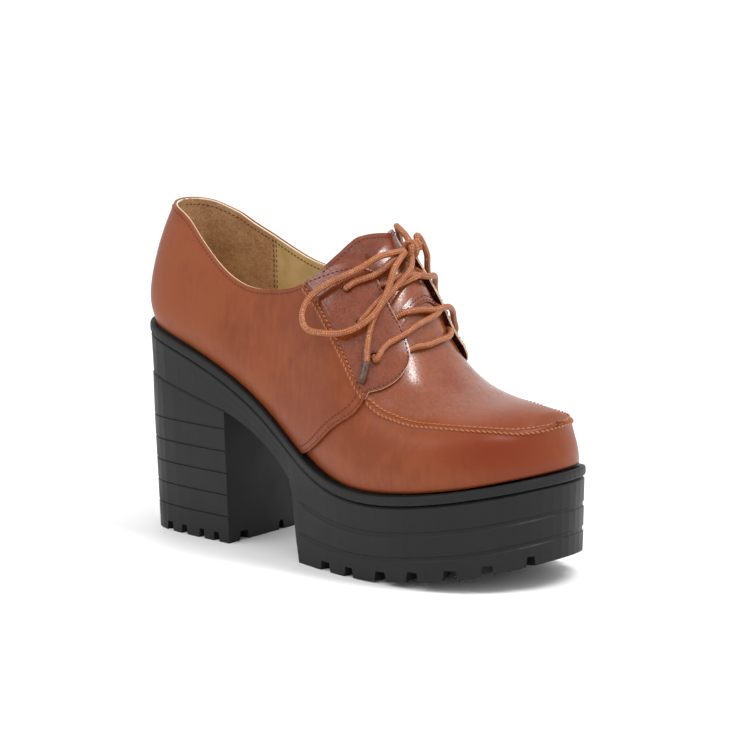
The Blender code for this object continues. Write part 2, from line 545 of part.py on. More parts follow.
def upper(group, material):
    tops = np.array(RIB_TOPS)
    feet = tops - shear(tops)
    quarter = int(np.searchsorted(tops, QUARTER_FRONT + STEP_LENGTH / 2))
    bm = bmesh.new()
    raised, ridge, sides = [], [], {}
    for side in (-1, 1):
        columns = []
        for k, (t, f) in enumerate(zip(tops, feet)):
            if side > 0 and k in (0, len(tops) - 1):
                columns.append(sides[-1][k])
                continue
            v = np.array(RIB_SHARES)
            bow = EDGE_BOW * np.sin(math.pi * v ** BOW_POWER)
            pts = wall_point(side, (f + (t - f) * (v + bow)) * SHOE_LENGTH, v)
            column = [bm.verts.new(p) for p in pts]
            columns.append(column)
            (raised if k < quarter else []).extend(column)
            (ridge if k >= quarter else []).append(column[-1])
        for a, b in zip(columns, columns[1:]):
            for i in range(len(RIB_SHARES) - 1):
                bm.faces.new((a[i], b[i], b[i + 1], a[i + 1]))
        sides[side] = columns
    rows = []
    for k in range(quarter, len(tops) - 1):
        a, b = sides[-1][k][-1], sides[1][k][-1]
        x = a.co.x + (b.co.x - a.co.x) * (np.array(APRON_SHARES) + 1) / 2
        rows.append([a] + [bm.verts.new(p) for p in instep(x, APRON_SHARES)] + [b])
    for a, b in zip(rows, rows[1:]):
        for i in range(len(a) - 1):
            bm.faces.new((a[i], a[i + 1], b[i + 1], b[i]))
    tip = sides[-1][-1][-1]
    for a, b in zip(rows[-1], rows[-1][1:]):
        bm.faces.new((a, b, tip))
    bmesh.ops.recalc_face_normals(bm, faces=bm.faces)
    bm.normal_update()
    if sum(v.normal.y * np.sign(v.co.y) for v in bm.verts) < 0:
        bmesh.ops.reverse_faces(bm, faces=bm.faces)
        bm.normal_update()
    moves = [(v, v.normal * OVERLAY_STEP) for v in raised] + [(v, v.normal * SEAM_RIDGE) for v in ridge]
    for v, d in moves:
        v.co += d
    ob = add_mesh("upper", bm, group, material)
    solidify(ob, LEATHER)
    return ob


def sheet(name, points, lift, thickness, group, material):
    """Sheet through a grid of points, lifted off it by lift and thickened back towards it."""
    bm = bmesh.new()
    rows = [[bm.verts.new(p) for p in row] for row in points]
    for a, b in zip(rows, rows[1:]):
        for i in range(len(a) - 1):
            bm.faces.new((a[i], a[i + 1], b[i + 1], b[i]))
    bm.normal_update()
    if sum(v.normal.z for v in bm.verts) < 0:
        bmesh.ops.reverse_faces(bm, faces=bm.faces)
        bm.normal_update()
    lift = np.broadcast_to(lift, (len(rows), len(rows[0])))
    moves = [(v, v.normal * float(d)) for row, h in zip(rows, lift) for v, d in zip(row, h)]
    for v, d in moves:
        v.co += d
    ob = add_mesh(name, bm, group, material)
    solidify(ob, thickness)
    return ob


def path(rows, count):
    """Points evenly spaced by row along a smooth line through a short table."""
    rows = np.array(rows)
    return spline(np.linspace(0, 1, len(rows)), rows)(np.linspace(0, 1, count))


def facing_plan(across, down):
    """Grid of (share of the length, share of the way to the seam) over the facing, by its four edges."""
    r, s = np.linspace(0, 1, across)[:, None, None], np.linspace(0, 1, down)[None, :, None]
    top, foot = path(FACING_TOP, across)[:, None], path(FACING_FOOT, across)[:, None]
    rear = np.array(FACING_TOP[0]) + (np.array(FACING_FOOT[0]) - np.array(FACING_TOP[0])) * s
    front = path(FACING_FRONT, down)[None]
    corners = (1 - r) * ((1 - s) * top[:1] + s * foot[:1]) + r * ((1 - s) * top[-1:] + s * foot[-1:])
    return (1 - s) * top + s * foot + (1 - r) * rear + r * front - corners


def facing(name, side, group, material, cutters):
    plan = facing_plan(10, 14)
    pts = instep(plan[..., 0] * SHOE_LENGTH, side * plan[..., 1])
    r = np.linspace(0, 1, 10)[:, None]
    lift = GAP + FACING_THICKNESS + (INNER_LIFT * r ** 2 if side > 0 else 0.0)
    ob = sheet(name, pts, lift, FACING_THICKNESS, group, material)
    bm = bmesh.new()
    for x, u in EYELETS:
        eyelet_cutter(bm, x * SHOE_LENGTH, side * u)
    cut(ob, add_mesh(name + "_eyelets", bm, cutters, smooth=None))
    return ob


def instep_frame(x, u):
    """Point of the instep and the way out of it."""
    step, turn = 0.001, 0.01
    p = instep(x, u)
    n = np.cross(instep(x + step, u) - p, instep(x, u + turn) - p)
    return p, n / np.linalg.norm(n) * (1 if n[2] > 0 else -1)


def eyelet_cutter(bm, x, u):
    p, n = instep_frame(x, u)
    side = np.cross(n, (1.0, 0.0, 0.0))
    side /= np.linalg.norm(side)
    other = np.cross(n, side)
    rings = []
    for h in EYELET_CUT:
        a = np.linspace(0, 2 * math.pi, EYELET_SIDES + 1)[:-1]
        c = p + n * h + EYELET_DIAMETER / 2 * (np.cos(a)[:, None] * side + np.sin(a)[:, None] * other)
        rings.append([bm.verts.new(q) for q in c])
    low, high = rings
    for i in range(EYELET_SIDES):
        j = (i + 1) % EYELET_SIDES
        bm.faces.new((low[i], low[j], high[j], high[i]))
    bm.faces.new(low[::-1])
    bm.faces.new(high)


def tongue(group, material):
    t = np.linspace(-1, 1, 15)[None]
    s = np.linspace(0, 1, 12)[:, None]
    rows = np.array(TONGUE)
    width, lag = spline(rows[:, 0], rows[:, 1:])(s[:, 0]).T[:, :, None]
    x = APRON_BACK * (1 - s) + TONGUE_TOP * s - lag * np.abs(t) ** TONGUE_ARCH
    u = width * t
    edge = np.array(FACING_TOP)
    edge_x = np.interp(np.abs(u), edge[::-1, 1], edge[::-1, 0])
    rise = smooth(((edge_x - x) * SHOE_LENGTH - FLARE_FROM) / FLARE_REACH) * (1 - np.abs(t) ** TONGUE_TUCK)
    rise = rise * smooth((FADE_FROM - t) / FADE_REACH)
    pts = instep(x * SHOE_LENGTH, u)
    return sheet("tongue", pts, TONGUE_FLARE * rise - TONGUE_SINK, TONGUE_THICKNESS, group, material)


def route(rows, spacing=CORD_SPACING):
    """Points of a cord through a table of lace positions, evenly spaced along it."""
    frames = [instep_frame(x * SHOE_LENGTH, u) for x, u, _ in rows]
    p = np.array([q + n * h * LACE_DIAMETER for (q, n), (_, _, h) in zip(frames, rows)])
    s = np.concatenate([[0], np.cumsum(np.linalg.norm(np.diff(p, axis=0), axis=1))])
    f = spline(s, p)
    fine = f(np.linspace(0, s[-1], 400))
    t = np.concatenate([[0], np.cumsum(np.linalg.norm(np.diff(fine, axis=0), axis=1))])
    count = max(3, int(round(t[-1] / (spacing * LACE_DIAMETER))) + 1)
    even = np.linspace(0, t[-1], count)
    return np.stack([np.interp(even, t, fine[:, k]) for k in range(3)], -1)


def cord(name, points, diameter, group, material):
    """Round cord along points, as a curve with closed ends."""
    data = bpy.data.curves.new(name, "CURVE")
    data.dimensions = "3D"
    data.bevel_depth = diameter / 2
    data.bevel_resolution = 2
    data.use_fill_caps = True
    data.resolution_u = 1
    spl = data.splines.new("POLY")
    spl.points.add(len(points) - 1)
    for q, p in zip(spl.points, np.asarray(points) - ORIGIN):
        q.co = (*p, 1.0)
    data.materials.append(material)
    ob = bpy.data.objects.new(name, data)
    group.objects.link(ob)
    return ob


def as_mesh(ob, group, material):
    """The cord's own surface as a closed mesh object of the same name."""
    name = ob.name
    bpy.context.view_layer.update()
    mesh = bpy.data.meshes.new_from_object(ob.evaluated_get(bpy.context.evaluated_depsgraph_get()))
    bpy.data.objects.remove(ob, do_unlink=True)
    bm = bmesh.new()
    bm.from_mesh(mesh)
    bmesh.ops.remove_doubles(bm, verts=bm.verts, dist=0.00001)
    bmesh.ops.recalc_face_normals(bm, faces=bm.faces)
    bm.to_mesh(mesh)
    bm.free()
    mesh.materials.clear()
    mesh.materials.append(material)
    solid = bpy.data.objects.new(name, mesh)
    group.objects.link(solid)
    return solid


def joined_strands(name, tables, group, cutters, material):
    """Strands that cross one another, as one body."""
    first = as_mesh(cord(name, route(tables[0], STRAND_SPACING), LACE_DIAMETER, group, material), group, material)
    for k, rows in enumerate(tables[1:], 2):
        strand = cord(f"{name}_strand_{k}", route(rows, STRAND_SPACING), LACE_DIAMETER, cutters, material)
        other = as_mesh(strand, cutters, material)
        mod = first.modifiers.new("join", "BOOLEAN")
        mod.operation = "UNION"
        mod.solver = "EXACT"
        mod.object = other
        other.hide_render = True
        other.display_type = "WIRE"
    return first


def knot_points():
    """Two turns of cord round a line that lies across the tongue."""
    p, n = instep_frame(KNOT[0] * SHOE_LENGTH, KNOT[1])
    centre = p + n * KNOT[2] * LACE_DIAMETER
    across = np.array(KNOT_WAY)
    across -= n * (across @ n)
    across /= np.linalg.norm(across)
    ahead = np.cross(across, n)
    turn = np.linspace(-2.0 * math.pi, 2.0 * math.pi, KNOT_POINTS)
    shift = turn / (2 * math.pi) * KNOT_PITCH
    ring = np.cos(turn)[:, None] * n + np.sin(turn)[:, None] * ahead
    return centre + KNOT_RADIUS * ring + shift[:, None] * across


def laces(group, cutters, material, film):
    as_mesh(cord("lace_bar", route(BAR, STRAND_SPACING), LACE_DIAMETER, group, material), group, material)
    joined_strands("lace_crossing_lower", LOWER_STRANDS, group, cutters, material)
    joined_strands("lace_crossing_upper", UPPER_STRANDS, group, cutters, material)
    cord("lace_from_hole", route(HOLE_STRAND), LACE_DIAMETER, group, material)
    cord("lace_knot", knot_points(), LACE_DIAMETER, group, material)
    cord("lace_loop_outer", route(OUTER_LOOP), LACE_DIAMETER, group, material)
    cord("lace_loop_inner", route(INNER_LOOP), LACE_DIAMETER, group, material)
    end = route(FREE_END)
    cord("lace_free_end", end, LACE_DIAMETER, group, material)
    p, n = instep_frame(AGLET_END[0] * SHOE_LENGTH, AGLET_END[1])
    way = p + n * FREE_END[-1][2] * LACE_DIAMETER - end[-1]
    way /= np.linalg.norm(way)
    cord("aglet", [end[-1] + way * GAP, end[-1] + way * (GAP + AGLET_LENGTH)], AGLET_DIAMETER, group, film)


def main():
    for ob in list(bpy.data.objects):
        bpy.data.objects.remove(ob, do_unlink=True)
    shoe, cutters = new_collection("heeled_oxford_shoe"), new_collection("cutters")
    brown = paint("brown_leather", (0.30, 0.085, 0.030), 0.42)
    gloss = paint("glossy_brown_leather", (0.27, 0.070, 0.024), 0.28)
    black = paint("black_rubber", (0.030, 0.031, 0.034), 0.62)
    beige = paint("beige_lining", (0.55, 0.40, 0.22), 0.80)
    rim_board(shoe, black)
    platform(shoe, black, cutters)
    heel(shoe, black, cutters)
    insole(shoe, beige)
    upper(shoe, brown)
    tongue(shoe, gloss)
    facing("facing_outer", -1, shoe, gloss, cutters)
    facing("facing_inner", 1, shoe, gloss, cutters)
    tan = paint("lace_cord", (0.52, 0.21, 0.07), 0.50)
    film = paint("aglet_film", (0.07, 0.03, 0.02), 0.30)
    laces(shoe, cutters, tan, film)


main()
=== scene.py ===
import math

import bmesh
import bpy
import numpy as np
from mathutils import Matrix, Quaternion, Vector
from mathutils.bvhtree import BVHTree


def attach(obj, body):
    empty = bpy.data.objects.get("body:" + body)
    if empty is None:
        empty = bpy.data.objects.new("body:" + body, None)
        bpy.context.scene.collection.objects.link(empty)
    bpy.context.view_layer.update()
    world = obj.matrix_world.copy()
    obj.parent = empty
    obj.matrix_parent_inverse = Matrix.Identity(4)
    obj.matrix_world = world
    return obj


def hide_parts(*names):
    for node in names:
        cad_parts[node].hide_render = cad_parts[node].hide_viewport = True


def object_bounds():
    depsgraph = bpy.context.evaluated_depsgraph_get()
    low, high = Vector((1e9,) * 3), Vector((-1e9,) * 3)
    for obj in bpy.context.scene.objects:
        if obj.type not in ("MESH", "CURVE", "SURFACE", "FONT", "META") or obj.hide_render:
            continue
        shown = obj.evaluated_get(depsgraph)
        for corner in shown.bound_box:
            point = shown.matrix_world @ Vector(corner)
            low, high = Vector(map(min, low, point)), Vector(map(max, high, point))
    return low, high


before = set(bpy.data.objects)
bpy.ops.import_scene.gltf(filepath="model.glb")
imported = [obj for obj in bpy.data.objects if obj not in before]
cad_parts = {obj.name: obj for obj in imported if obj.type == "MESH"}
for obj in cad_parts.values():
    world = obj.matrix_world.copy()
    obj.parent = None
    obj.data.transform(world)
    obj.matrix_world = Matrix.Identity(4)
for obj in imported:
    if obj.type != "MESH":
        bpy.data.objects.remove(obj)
CAD_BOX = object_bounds()

# Sizes of the shoe in metres. In the shape functions X runs from the heel's back to the toe, the outer side
# is -Y and the floor is 0. The finished pieces are moved to the part's own frame, which has its origin under
# the middle.
LENGTH = CAD_BOX[1].x - CAD_BOX[0].x
BALL_WIDTH = 0.092
PLATFORM_HEIGHT = 0.036
HEEL_RISE = 0.0629
TOE_SPRING = 0.0133
RIM_HEIGHT = 0.0048
COUNTER_HEIGHT = 0.0563
FEATHER_IN, FEATHER_UP = 0.0030, 0.0009   # the leather's foot inside and over the rim's edge
HEEL_LENGTH = 0.0635
OVERLAY_STEP = 0.0016      # the quarter stands this far over the vamp
LEATHER = 0.0012
LINING = 0.0006
LACE_DIAMETER = 0.0030

# Rim outline: share of the length, then outer and inner half width as shares of the ball width.
OUTLINE = (
    (0.03, 0.225, 0.205), (0.12, 0.310, 0.320), (0.28, 0.342, 0.300), (0.42, 0.376, 0.305),
    (0.56, 0.463, 0.375), (0.68, 0.503, 0.455), (0.80, 0.490, 0.475), (0.90, 0.385, 0.420),
    (0.97, 0.195, 0.291))
TOE_POINT = 0.054          # the foremost point lies this share of the ball width to the inner side
# Groove under the rim: share of the length, share of HEEL_RISE, share of TOE_SPRING.
ARCH = (
    (0.00, 1.000, 0.00), (0.12, 0.876, 0.00), (0.25, 0.704, 0.00), (0.38, 0.434, 0.00),
    (0.48, 0.181, 0.00), (0.56, 0.052, 0.00), (0.64, 0.000, 0.00), (0.75, 0.000, 0.075),
    (0.88, 0.000, 0.429), (1.00, 0.000, 0.865))
# Wall of the upper: share of the length, then for three heights the inset as a share of the ball width and the
# height as a share of the rib.
WALL = (
    (0.00, 0.008, 0.18, 0.022, 0.43, 0.070, 0.74), (0.06, 0.009, 0.18, 0.024, 0.43, 0.082, 0.74),
    (0.12, 0.010, 0.20, 0.020, 0.46, 0.058, 0.75), (0.25, 0.010, 0.24, 0.015, 0.52, 0.033, 0.80),
    (0.38, 0.010, 0.20, 0.018, 0.48, 0.034, 0.78), (0.48, 0.010, 0.16, 0.024, 0.42, 0.050, 0.73),
    (0.56, 0.009, 0.17, 0.026, 0.44, 0.058, 0.73), (0.64, 0.008, 0.22, 0.026, 0.50, 0.062, 0.78),
    (0.75, 0.008, 0.30, 0.026, 0.60, 0.068, 0.84), (0.84, 0.016, 0.32, 0.034, 0.62, 0.073, 0.85),
    (0.92, 0.031, 0.32, 0.048, 0.62, 0.071, 0.86), (1.00, 0.038, 0.32, 0.053, 0.62, 0.064, 0.87))
# Collar and seam: share of the length at the rib's foot, then inset (share of the ball width) and height (share
# of COUNTER_HEIGHT) of the upper's edge on the outer side and on the inner side.
COLLAR = (
    (0.000, 0.134, 1.000, 0.134, 1.000), (0.030, 0.148, 1.000, 0.134, 1.000),
    (0.060, 0.147, 1.000, 0.126, 0.988), (0.100, 0.130, 0.988, 0.109, 0.979),
    (0.150, 0.106, 0.938, 0.087, 0.959), (0.200, 0.081, 0.890, 0.068, 0.952),
    (0.250, 0.061, 0.840, 0.054, 0.947), (0.300, 0.050, 0.844, 0.048, 0.966),
    (0.350, 0.048, 0.927, 0.046, 1.030), (0.400, 0.054, 1.080, 0.050, 1.160),
    (0.440, 0.065, 1.222, 0.059, 1.298), (0.475, 0.082, 1.368, 0.072, 1.437))
SEAM = (
    (0.475, 0.082, 1.368, 0.072, 1.437), (0.500, 0.087, 1.350, 0.072, 1.421),
    (0.533, 0.091, 1.284, 0.074, 1.350), (0.567, 0.098, 1.155, 0.076, 1.225),
    (0.600, 0.103, 1.000, 0.079, 1.063), (0.633, 0.104, 0.820, 0.085, 0.880),
    (0.667, 0.111, 0.680, 0.091, 0.735), (0.708, 0.120, 0.608, 0.102, 0.655),
    (0.750, 0.125, 0.556, 0.113, 0.600), (0.800, 0.130, 0.524, 0.122, 0.551),
    (0.850, 0.130, 0.487, 0.124, 0.506), (0.900, 0.125, 0.439, 0.114, 0.449),
    (0.938, 0.110, 0.397, 0.093, 0.411), (0.967, 0.090, 0.366, 0.079, 0.384),
    (1.000, 0.068, 0.365, 0.068, 0.365))
# Crest of the instep and apron: share of the length, height over the rim as a share of COUNTER_HEIGHT, and
# roundness.
CREST = (
    (0.460, 1.990, 1.6), (0.500, 2.049, 1.6), (0.525, 2.034, 1.6), (0.554, 1.980, 1.6), (0.583, 1.853, 1.6),
    (0.608, 1.730, 1.6), (0.625, 1.636, 1.6), (0.642, 1.524, 1.6), (0.675, 1.238, 1.65),
    (0.721, 0.954, 1.75), (0.762, 0.790, 1.9), (0.792, 0.713, 2.0), (0.842, 0.624, 2.1),
    (0.887, 0.568, 2.1), (0.925, 0.516, 2.1), (0.950, 0.470, 2.1), (0.965, 0.425, 2.1), (0.975, 0.378, 2.1))
CREST_SIDE = 0.065         # the crest lies this share of the ball width to the inner side
INNER_FULLNESS = 0.35      # added to the roundness on the inner side
# The ribs turn about these shares of the length at heel and toe.
HEEL_FAN, TOE_FAN, FAN_ROUND = 0.1875, 0.854, 0.06
# And these shares of the ball width to the inner side of the middle, the second added between two stations.
HEEL_SIDE, TOE_SIDE = 0.022, 0.0325
SIDE_FROM, SIDE_TO, SIDE_ROUND = 0.3, 0.8, 0.1
JUNCTION = 0.475           # collar, facing and seam meet here
QUARTER_FRONT, QUARTER_FOOT = 0.650, 0.489   # top and foot of the quarter's front edge
SHEAR_FROM, SHEAR_TO = 0.30, 0.97   # the ribs lean like that edge between these stations
EDGE_BOW, BOW_POWER = 0.23, 1.2     # and bow forward by this share of the lean
APRON_BACK = 0.650         # the apron meets the tongue here
# Facing: share of the length and share of the way from the crest to the seam, along its top, front and lower
# edge.
FACING_TOP = (
    (0.477, 0.985), (0.494, 0.905), (0.524, 0.755), (0.552, 0.588), (0.572, 0.490), (0.588, 0.420))
FACING_FRONT = (
    (0.588, 0.420), (0.608, 0.440), (0.642, 0.437), (0.656, 0.420), (0.669, 0.433), (0.679, 0.472),
    (0.686, 0.555))
FACING_FOOT = ((0.649, 0.975), (0.668, 0.879), (0.680, 0.786), (0.687, 0.673), (0.686, 0.555))
EYELETS = ((0.558, 0.73), (0.599, 0.77), (0.639, 0.78))
EYELET_DIAMETER = 0.0042
FACING_LIFT, FACING_SHEET = 0.0019, 0.0009   # its top stands this far over the instep; its thickness
INNER_LIFT, CORNER_LIFT = 0.0016, 0.0012     # more lift at the inner facing's front, the outer one's corner
# Tongue: share of the way from foot to top, half width as a share of the way to the seam, and how far its edge
# lags behind its middle, as a share of the length.
TONGUE = ((0.0, 0.74, 0.000), (0.35, 0.78, 0.018), (0.7, 0.86, 0.054), (1.0, 0.97, 0.092))
TONGUE_ARCH = 1.45         # its edge falls back from the middle as this power of the way to the sides
TONGUE_TOP = 0.570         # it ends here
TONGUE_SHEET, TONGUE_OVERLAP, TONGUE_SINK = 0.0015, 0.0010, 0.0002   # thickness; over and into the instep
# It lifts by TONGUE_FLARE above the facings, from this far past them and over this reach, but not at its sides.
TONGUE_FLARE, FLARE_FROM, FLARE_REACH, TONGUE_TUCK = 0.0062, 0.0020, 0.0100, 5
FADE_FROM, FADE_REACH = 0.38, 0.50   # the lift fades over the inner half, between these shares across
FOOT_REACH, FOOT_PULL = 0.12, 0.004  # this share of its run laps over the apron, drawn forward by this much
AGLET_DIAMETER, AGLET_LENGTH = 0.0034, 0.0105
KNOT_RADIUS, KNOT_PITCH = 0.0031, 0.0034
# Laces: share of the length, share of the way from the crest to the seam, height in LACE_DIAMETER.
BAR = (
    (0.680, -0.37, 0.60), (0.687, -0.26, 0.60), (0.691, -0.08, 0.60), (0.690, 0.10, 0.60),
    (0.685, 0.25, 0.60), (0.677, 0.36, 0.60))
LOWER_STRANDS = (
    ((0.644, -0.79, 1.30), (0.646, -0.70, 1.32), (0.651, -0.60, 1.32), (0.658, -0.49, 1.30),
     (0.663, -0.36, 1.16), (0.666, -0.22, 0.98), (0.668, -0.07, 0.95), (0.666, 0.06, 1.05)),
    ((0.646, -0.35, 0.62), (0.651, -0.27, 0.66), (0.657, -0.15, 0.78), (0.662, -0.02, 0.95),
     (0.662, 0.14, 1.20), (0.658, 0.28, 1.60), (0.653, 0.42, 1.85), (0.649, 0.55, 1.85),
     (0.645, 0.68, 1.65), (0.642, 0.78, 1.50)))
UPPER_STRANDS = (
    ((0.618, -0.36, 0.62), (0.622, -0.28, 0.64), (0.626, -0.20, 0.70), (0.629, -0.10, 0.80),
     (0.630, 0.00, 0.92)),
    ((0.617, -0.23, 0.98), (0.622, -0.15, 0.95), (0.627, -0.05, 0.95), (0.631, 0.08, 1.10),
     (0.629, 0.22, 1.50), (0.622, 0.36, 1.85), (0.613, 0.52, 1.85), (0.606, 0.66, 1.65),
     (0.602, 0.76, 1.50)))
HOLE_STRAND = (
    (0.560, -0.735, 1.30), (0.566, -0.67, 1.33), (0.576, -0.58, 1.38), (0.587, -0.48, 1.40),
    (0.594, -0.38, 1.55), (0.597, -0.30, 1.80))
OUTER_LOOP = (
    (0.588, -0.30, 3.00), (0.580, -0.40, 2.90), (0.573, -0.50, 2.60), (0.556, -0.67, 2.20),
    (0.540, -0.79, 2.00), (0.522, -0.92, 1.95), (0.509, -1.03, 2.00), (0.505, -1.12, 2.00),
    (0.512, -1.17, 2.00), (0.528, -1.16, 2.00), (0.548, -1.09, 2.00), (0.572, -0.99, 2.00),
    (0.593, -0.87, 2.05), (0.608, -0.74, 2.20), (0.616, -0.62, 2.50), (0.617, -0.50, 2.80),
    (0.614, -0.41, 3.10), (0.608, -0.32, 3.30))
FREE_END = (
    (0.620, -0.12, 2.20), (0.622, -0.20, 1.90), (0.622, -0.30, 1.62), (0.620, -0.42, 1.50),
    (0.617, -0.56, 1.42), (0.617, -0.67, 1.38), (0.622, -0.77, 1.36), (0.627, -0.82, 1.36),
    (0.633, -0.865, 1.36))
AGLET_END = (0.638, -0.985)
INNER_LOOP = (
    (0.584, 0.04, 2.10), (0.572, 0.10, 1.45), (0.562, 0.18, 0.95), (0.555, 0.30, 0.90),
    (0.549, 0.44, 0.95), (0.542, 0.58, 1.20), (0.536, 0.70, 1.65), (0.538, 0.82, 1.95),
    (0.550, 0.90, 2.00), (0.566, 0.88, 2.00), (0.579, 0.79, 1.95), (0.587, 0.69, 1.90),
    (0.591, 0.59, 1.95), (0.592, 0.50, 2.30), (0.592, 0.42, 2.65), (0.589, 0.33, 2.85),
    (0.586, 0.24, 3.02), (0.586, 0.15, 3.02))
KNOT = (0.601, 0.00, 2.05)
KNOT_WAY = (0.25, 1.0, 0.0)   # its turns follow one another this way


# Smooth lines and the shape of the shoe

def spline(knots, values):
    """Natural cubic through values at knots. Each value may be a row of several numbers."""
    k, y = np.asarray(knots, float), np.asarray(values, float)
    flat = y.ndim == 1
    y = y[:, None] if flat else y
    n, h = len(k), np.diff(k)
    a, b = np.zeros((n, n)), np.zeros_like(y)
    a[0, 0] = a[-1, -1] = 1.0
    for i in range(1, n - 1):
        a[i, i - 1:i + 2] = h[i - 1], 2 * (h[i - 1] + h[i]), h[i]
        b[i] = 6 * ((y[i + 1] - y[i]) / h[i] - (y[i] - y[i - 1]) / h[i - 1])
    m = np.linalg.solve(a, b)

    def at(t):
        t = np.asarray(t, float)
        i = np.clip(np.searchsorted(k, t) - 1, 0, n - 2)
        d = h[i][..., None]
        u = (t - k[i])[..., None] / d
        r = (1 - u) * y[i] + u * y[i + 1]
        r = r + d * d / 6 * (((1 - u) ** 3 - (1 - u)) * m[i] + (u ** 3 - u) * m[i + 1])
        return r[..., 0] if flat else r
    return at


def table(rows):
    """Spline through a table whose first column is the share of the length."""
    rows = np.array(rows, float)
    return spline(rows[:, 0] * LENGTH, rows[:, 1:])


def rim_tables():
    outer = [(a * LENGTH, -o * BALL_WIDTH) for a, o, _ in OUTLINE]
    inner = [(a * LENGTH, i * BALL_WIDTH) for a, _, i in OUTLINE[::-1]]
    p = np.array([(0, 0)] + outer + [(LENGTH, TOE_POINT * BALL_WIDTH)] + inner, float)
    p = np.vstack([p[-3:], p, p[:4]])
    s = np.concatenate([[0], np.cumsum(np.sqrt(np.linalg.norm(np.diff(p, axis=0), axis=1)))])
    p = spline(s, p)(np.linspace(s[3], s[-4], 4001))
    p[:, 0] = (p[:, 0] - p[:, 0].min()) * LENGTH / np.ptp(p[:, 0])
    back, tip = int(np.argmin(p[:-1, 0])), int(np.argmax(p[:, 0]))
    p = np.roll(p[:-1], -back, axis=0)
    tip = (tip - back) % len(p)
    t = np.roll(p, -1, axis=0) - np.roll(p, 1, axis=0)
    t /= np.linalg.norm(t, axis=1)[:, None]
    q = np.column_stack([p, -t[:, 1], t[:, 0]])
    return q[:tip + 1], np.vstack([q[tip:], q[:1]])[::-1]


OUTER, INNER = rim_tables()
MIDDLE = np.array([LENGTH / 2, (OUTER[:, 1].min() + INNER[:, 1].max()) / 2, 0.0])


def rim(side, x, inset=0.0):
    """Plan points of the rim, moved inward by inset. Side is -1 for the outer and 1 for the inner one."""
    t = OUTER if side < 0 else INNER
    x = np.asarray(x, float)
    y, nx, ny = (np.interp(x, t[:, 0], t[:, k]) for k in (1, 2, 3))
    n = np.hypot(nx, ny)
    return np.stack([x + inset * nx / n, y + inset * ny / n], -1)


arch, wall, crest, collar, seam = (table(rows) for rows in (ARCH, WALL, CREST, COLLAR, SEAM))


def groove_z(x):
    h = arch(x)
    return PLATFORM_HEIGHT + h[..., 0] * HEEL_RISE + h[..., 1] * TOE_SPRING


def rim_z(x):
    return groove_z(x) + RIM_HEIGHT


def clamp(x, low, high, r):
    """x held between two values with rounded corners of reach r."""
    x = np.where(x > high - r, np.where(x > high + r, high, high - (high + r - x) ** 2 / (4 * r)), x)
    return np.where(x < low + r, np.where(x < low - r, low, low + (x - low + r) ** 2 / (4 * r)), x)


def smooth(t):
    """Soft step from 0 to 1."""
    t = np.clip(t, 0.0, 1.0)
    return t * t * (3 - 2 * t)


def rib(side, x):
    """The five points of the rib that starts at the rim's x, from its foot to the upper's edge."""
    x = np.atleast_1d(np.asarray(x, float))
    foot = rim(side, x)
    hub_x = clamp(x / LENGTH, HEEL_FAN, TOE_FAN, FAN_ROUND) * LENGTH
    ahead = (clamp(x / LENGTH, SIDE_FROM, SIDE_TO, SIDE_ROUND) - SIDE_FROM) / (SIDE_TO - SIDE_FROM)
    hub = np.stack([hub_x, (HEEL_SIDE + TOE_SIDE * ahead) * BALL_WIDTH], -1)
    d = hub - foot
    d /= np.linalg.norm(d, axis=1)[:, None]
    w, base = wall(x), rim_z(x)
    edge = np.where((x < JUNCTION * LENGTH)[:, None], collar(x), seam(x))
    edge = edge[:, :2] if side < 0 else edge[:, 2:]
    top = edge[:, 1] * COUNTER_HEIGHT
    rows = [(np.full(len(x), FEATHER_IN), np.full(len(x), FEATHER_UP))]
    rows += [(w[:, k] * BALL_WIDTH, w[:, k + 1] * top) for k in (0, 2, 4)]
    rows += [(edge[:, 0] * BALL_WIDTH, top)]
    under = OVERLAY_STEP * smooth((QUARTER_FRONT - x / LENGTH) / (QUARTER_FRONT - QUARTER_FOOT))
    return np.stack([np.column_stack([foot + d * (i + under)[:, None], base + h]) for i, h in rows], 1)


# Where the rib's five points lie between its foot and its edge.
along_rib = spline((0.0, 0.20, 0.45, 0.74, 1.0), np.eye(5))


def wall_point(side, x, v):
    """Points of the wall at rim stations x and shares v of the way up."""
    return np.einsum("nk,nkj->nj", along_rib(v), rib(side, x))


SEAM_STATIONS = np.linspace(0.45, 1.0, 400) * LENGTH
SEAM_LINE = {side: rib(side, SEAM_STATIONS)[:, -1] for side in (-1, 1)}


def instep(x, u):
    """Instep and apron: x along the shoe, u from -1 at the outer seam over 0 at the crest to 1 at the inner
    seam."""
    x, u = np.broadcast_arrays(np.asarray(x, float), np.asarray(u, float))
    c = crest(x)
    top = rim_z(x) + c[..., 0] * COUNTER_HEIGHT
    ye, ze = (np.where(u < 0, *(np.interp(x, SEAM_LINE[s][:, 0], SEAM_LINE[s][:, k]) for s in (-1, 1)))
              for k in (1, 2))
    a = np.abs(u)
    n = c[..., 1] + np.where(u > 0, INNER_FULLNESS, 0.0)
    y = CREST_SIDE * BALL_WIDTH
    return np.stack([x, y + (ye - y) * a, ze + (top - ze) * (1 - a ** n)], -1)


def instep_frame(x, u):
    """Points of the instep and the way out of it."""
    step, turn = 0.001, 0.01
    p = instep(x, u)
    n = np.cross(instep(x + step, u) - p, instep(x, u + turn) - p)
    n /= np.linalg.norm(n, axis=-1)[..., None]
    return p, n * np.where(n[..., 2:] > 0, 1.0, -1.0)


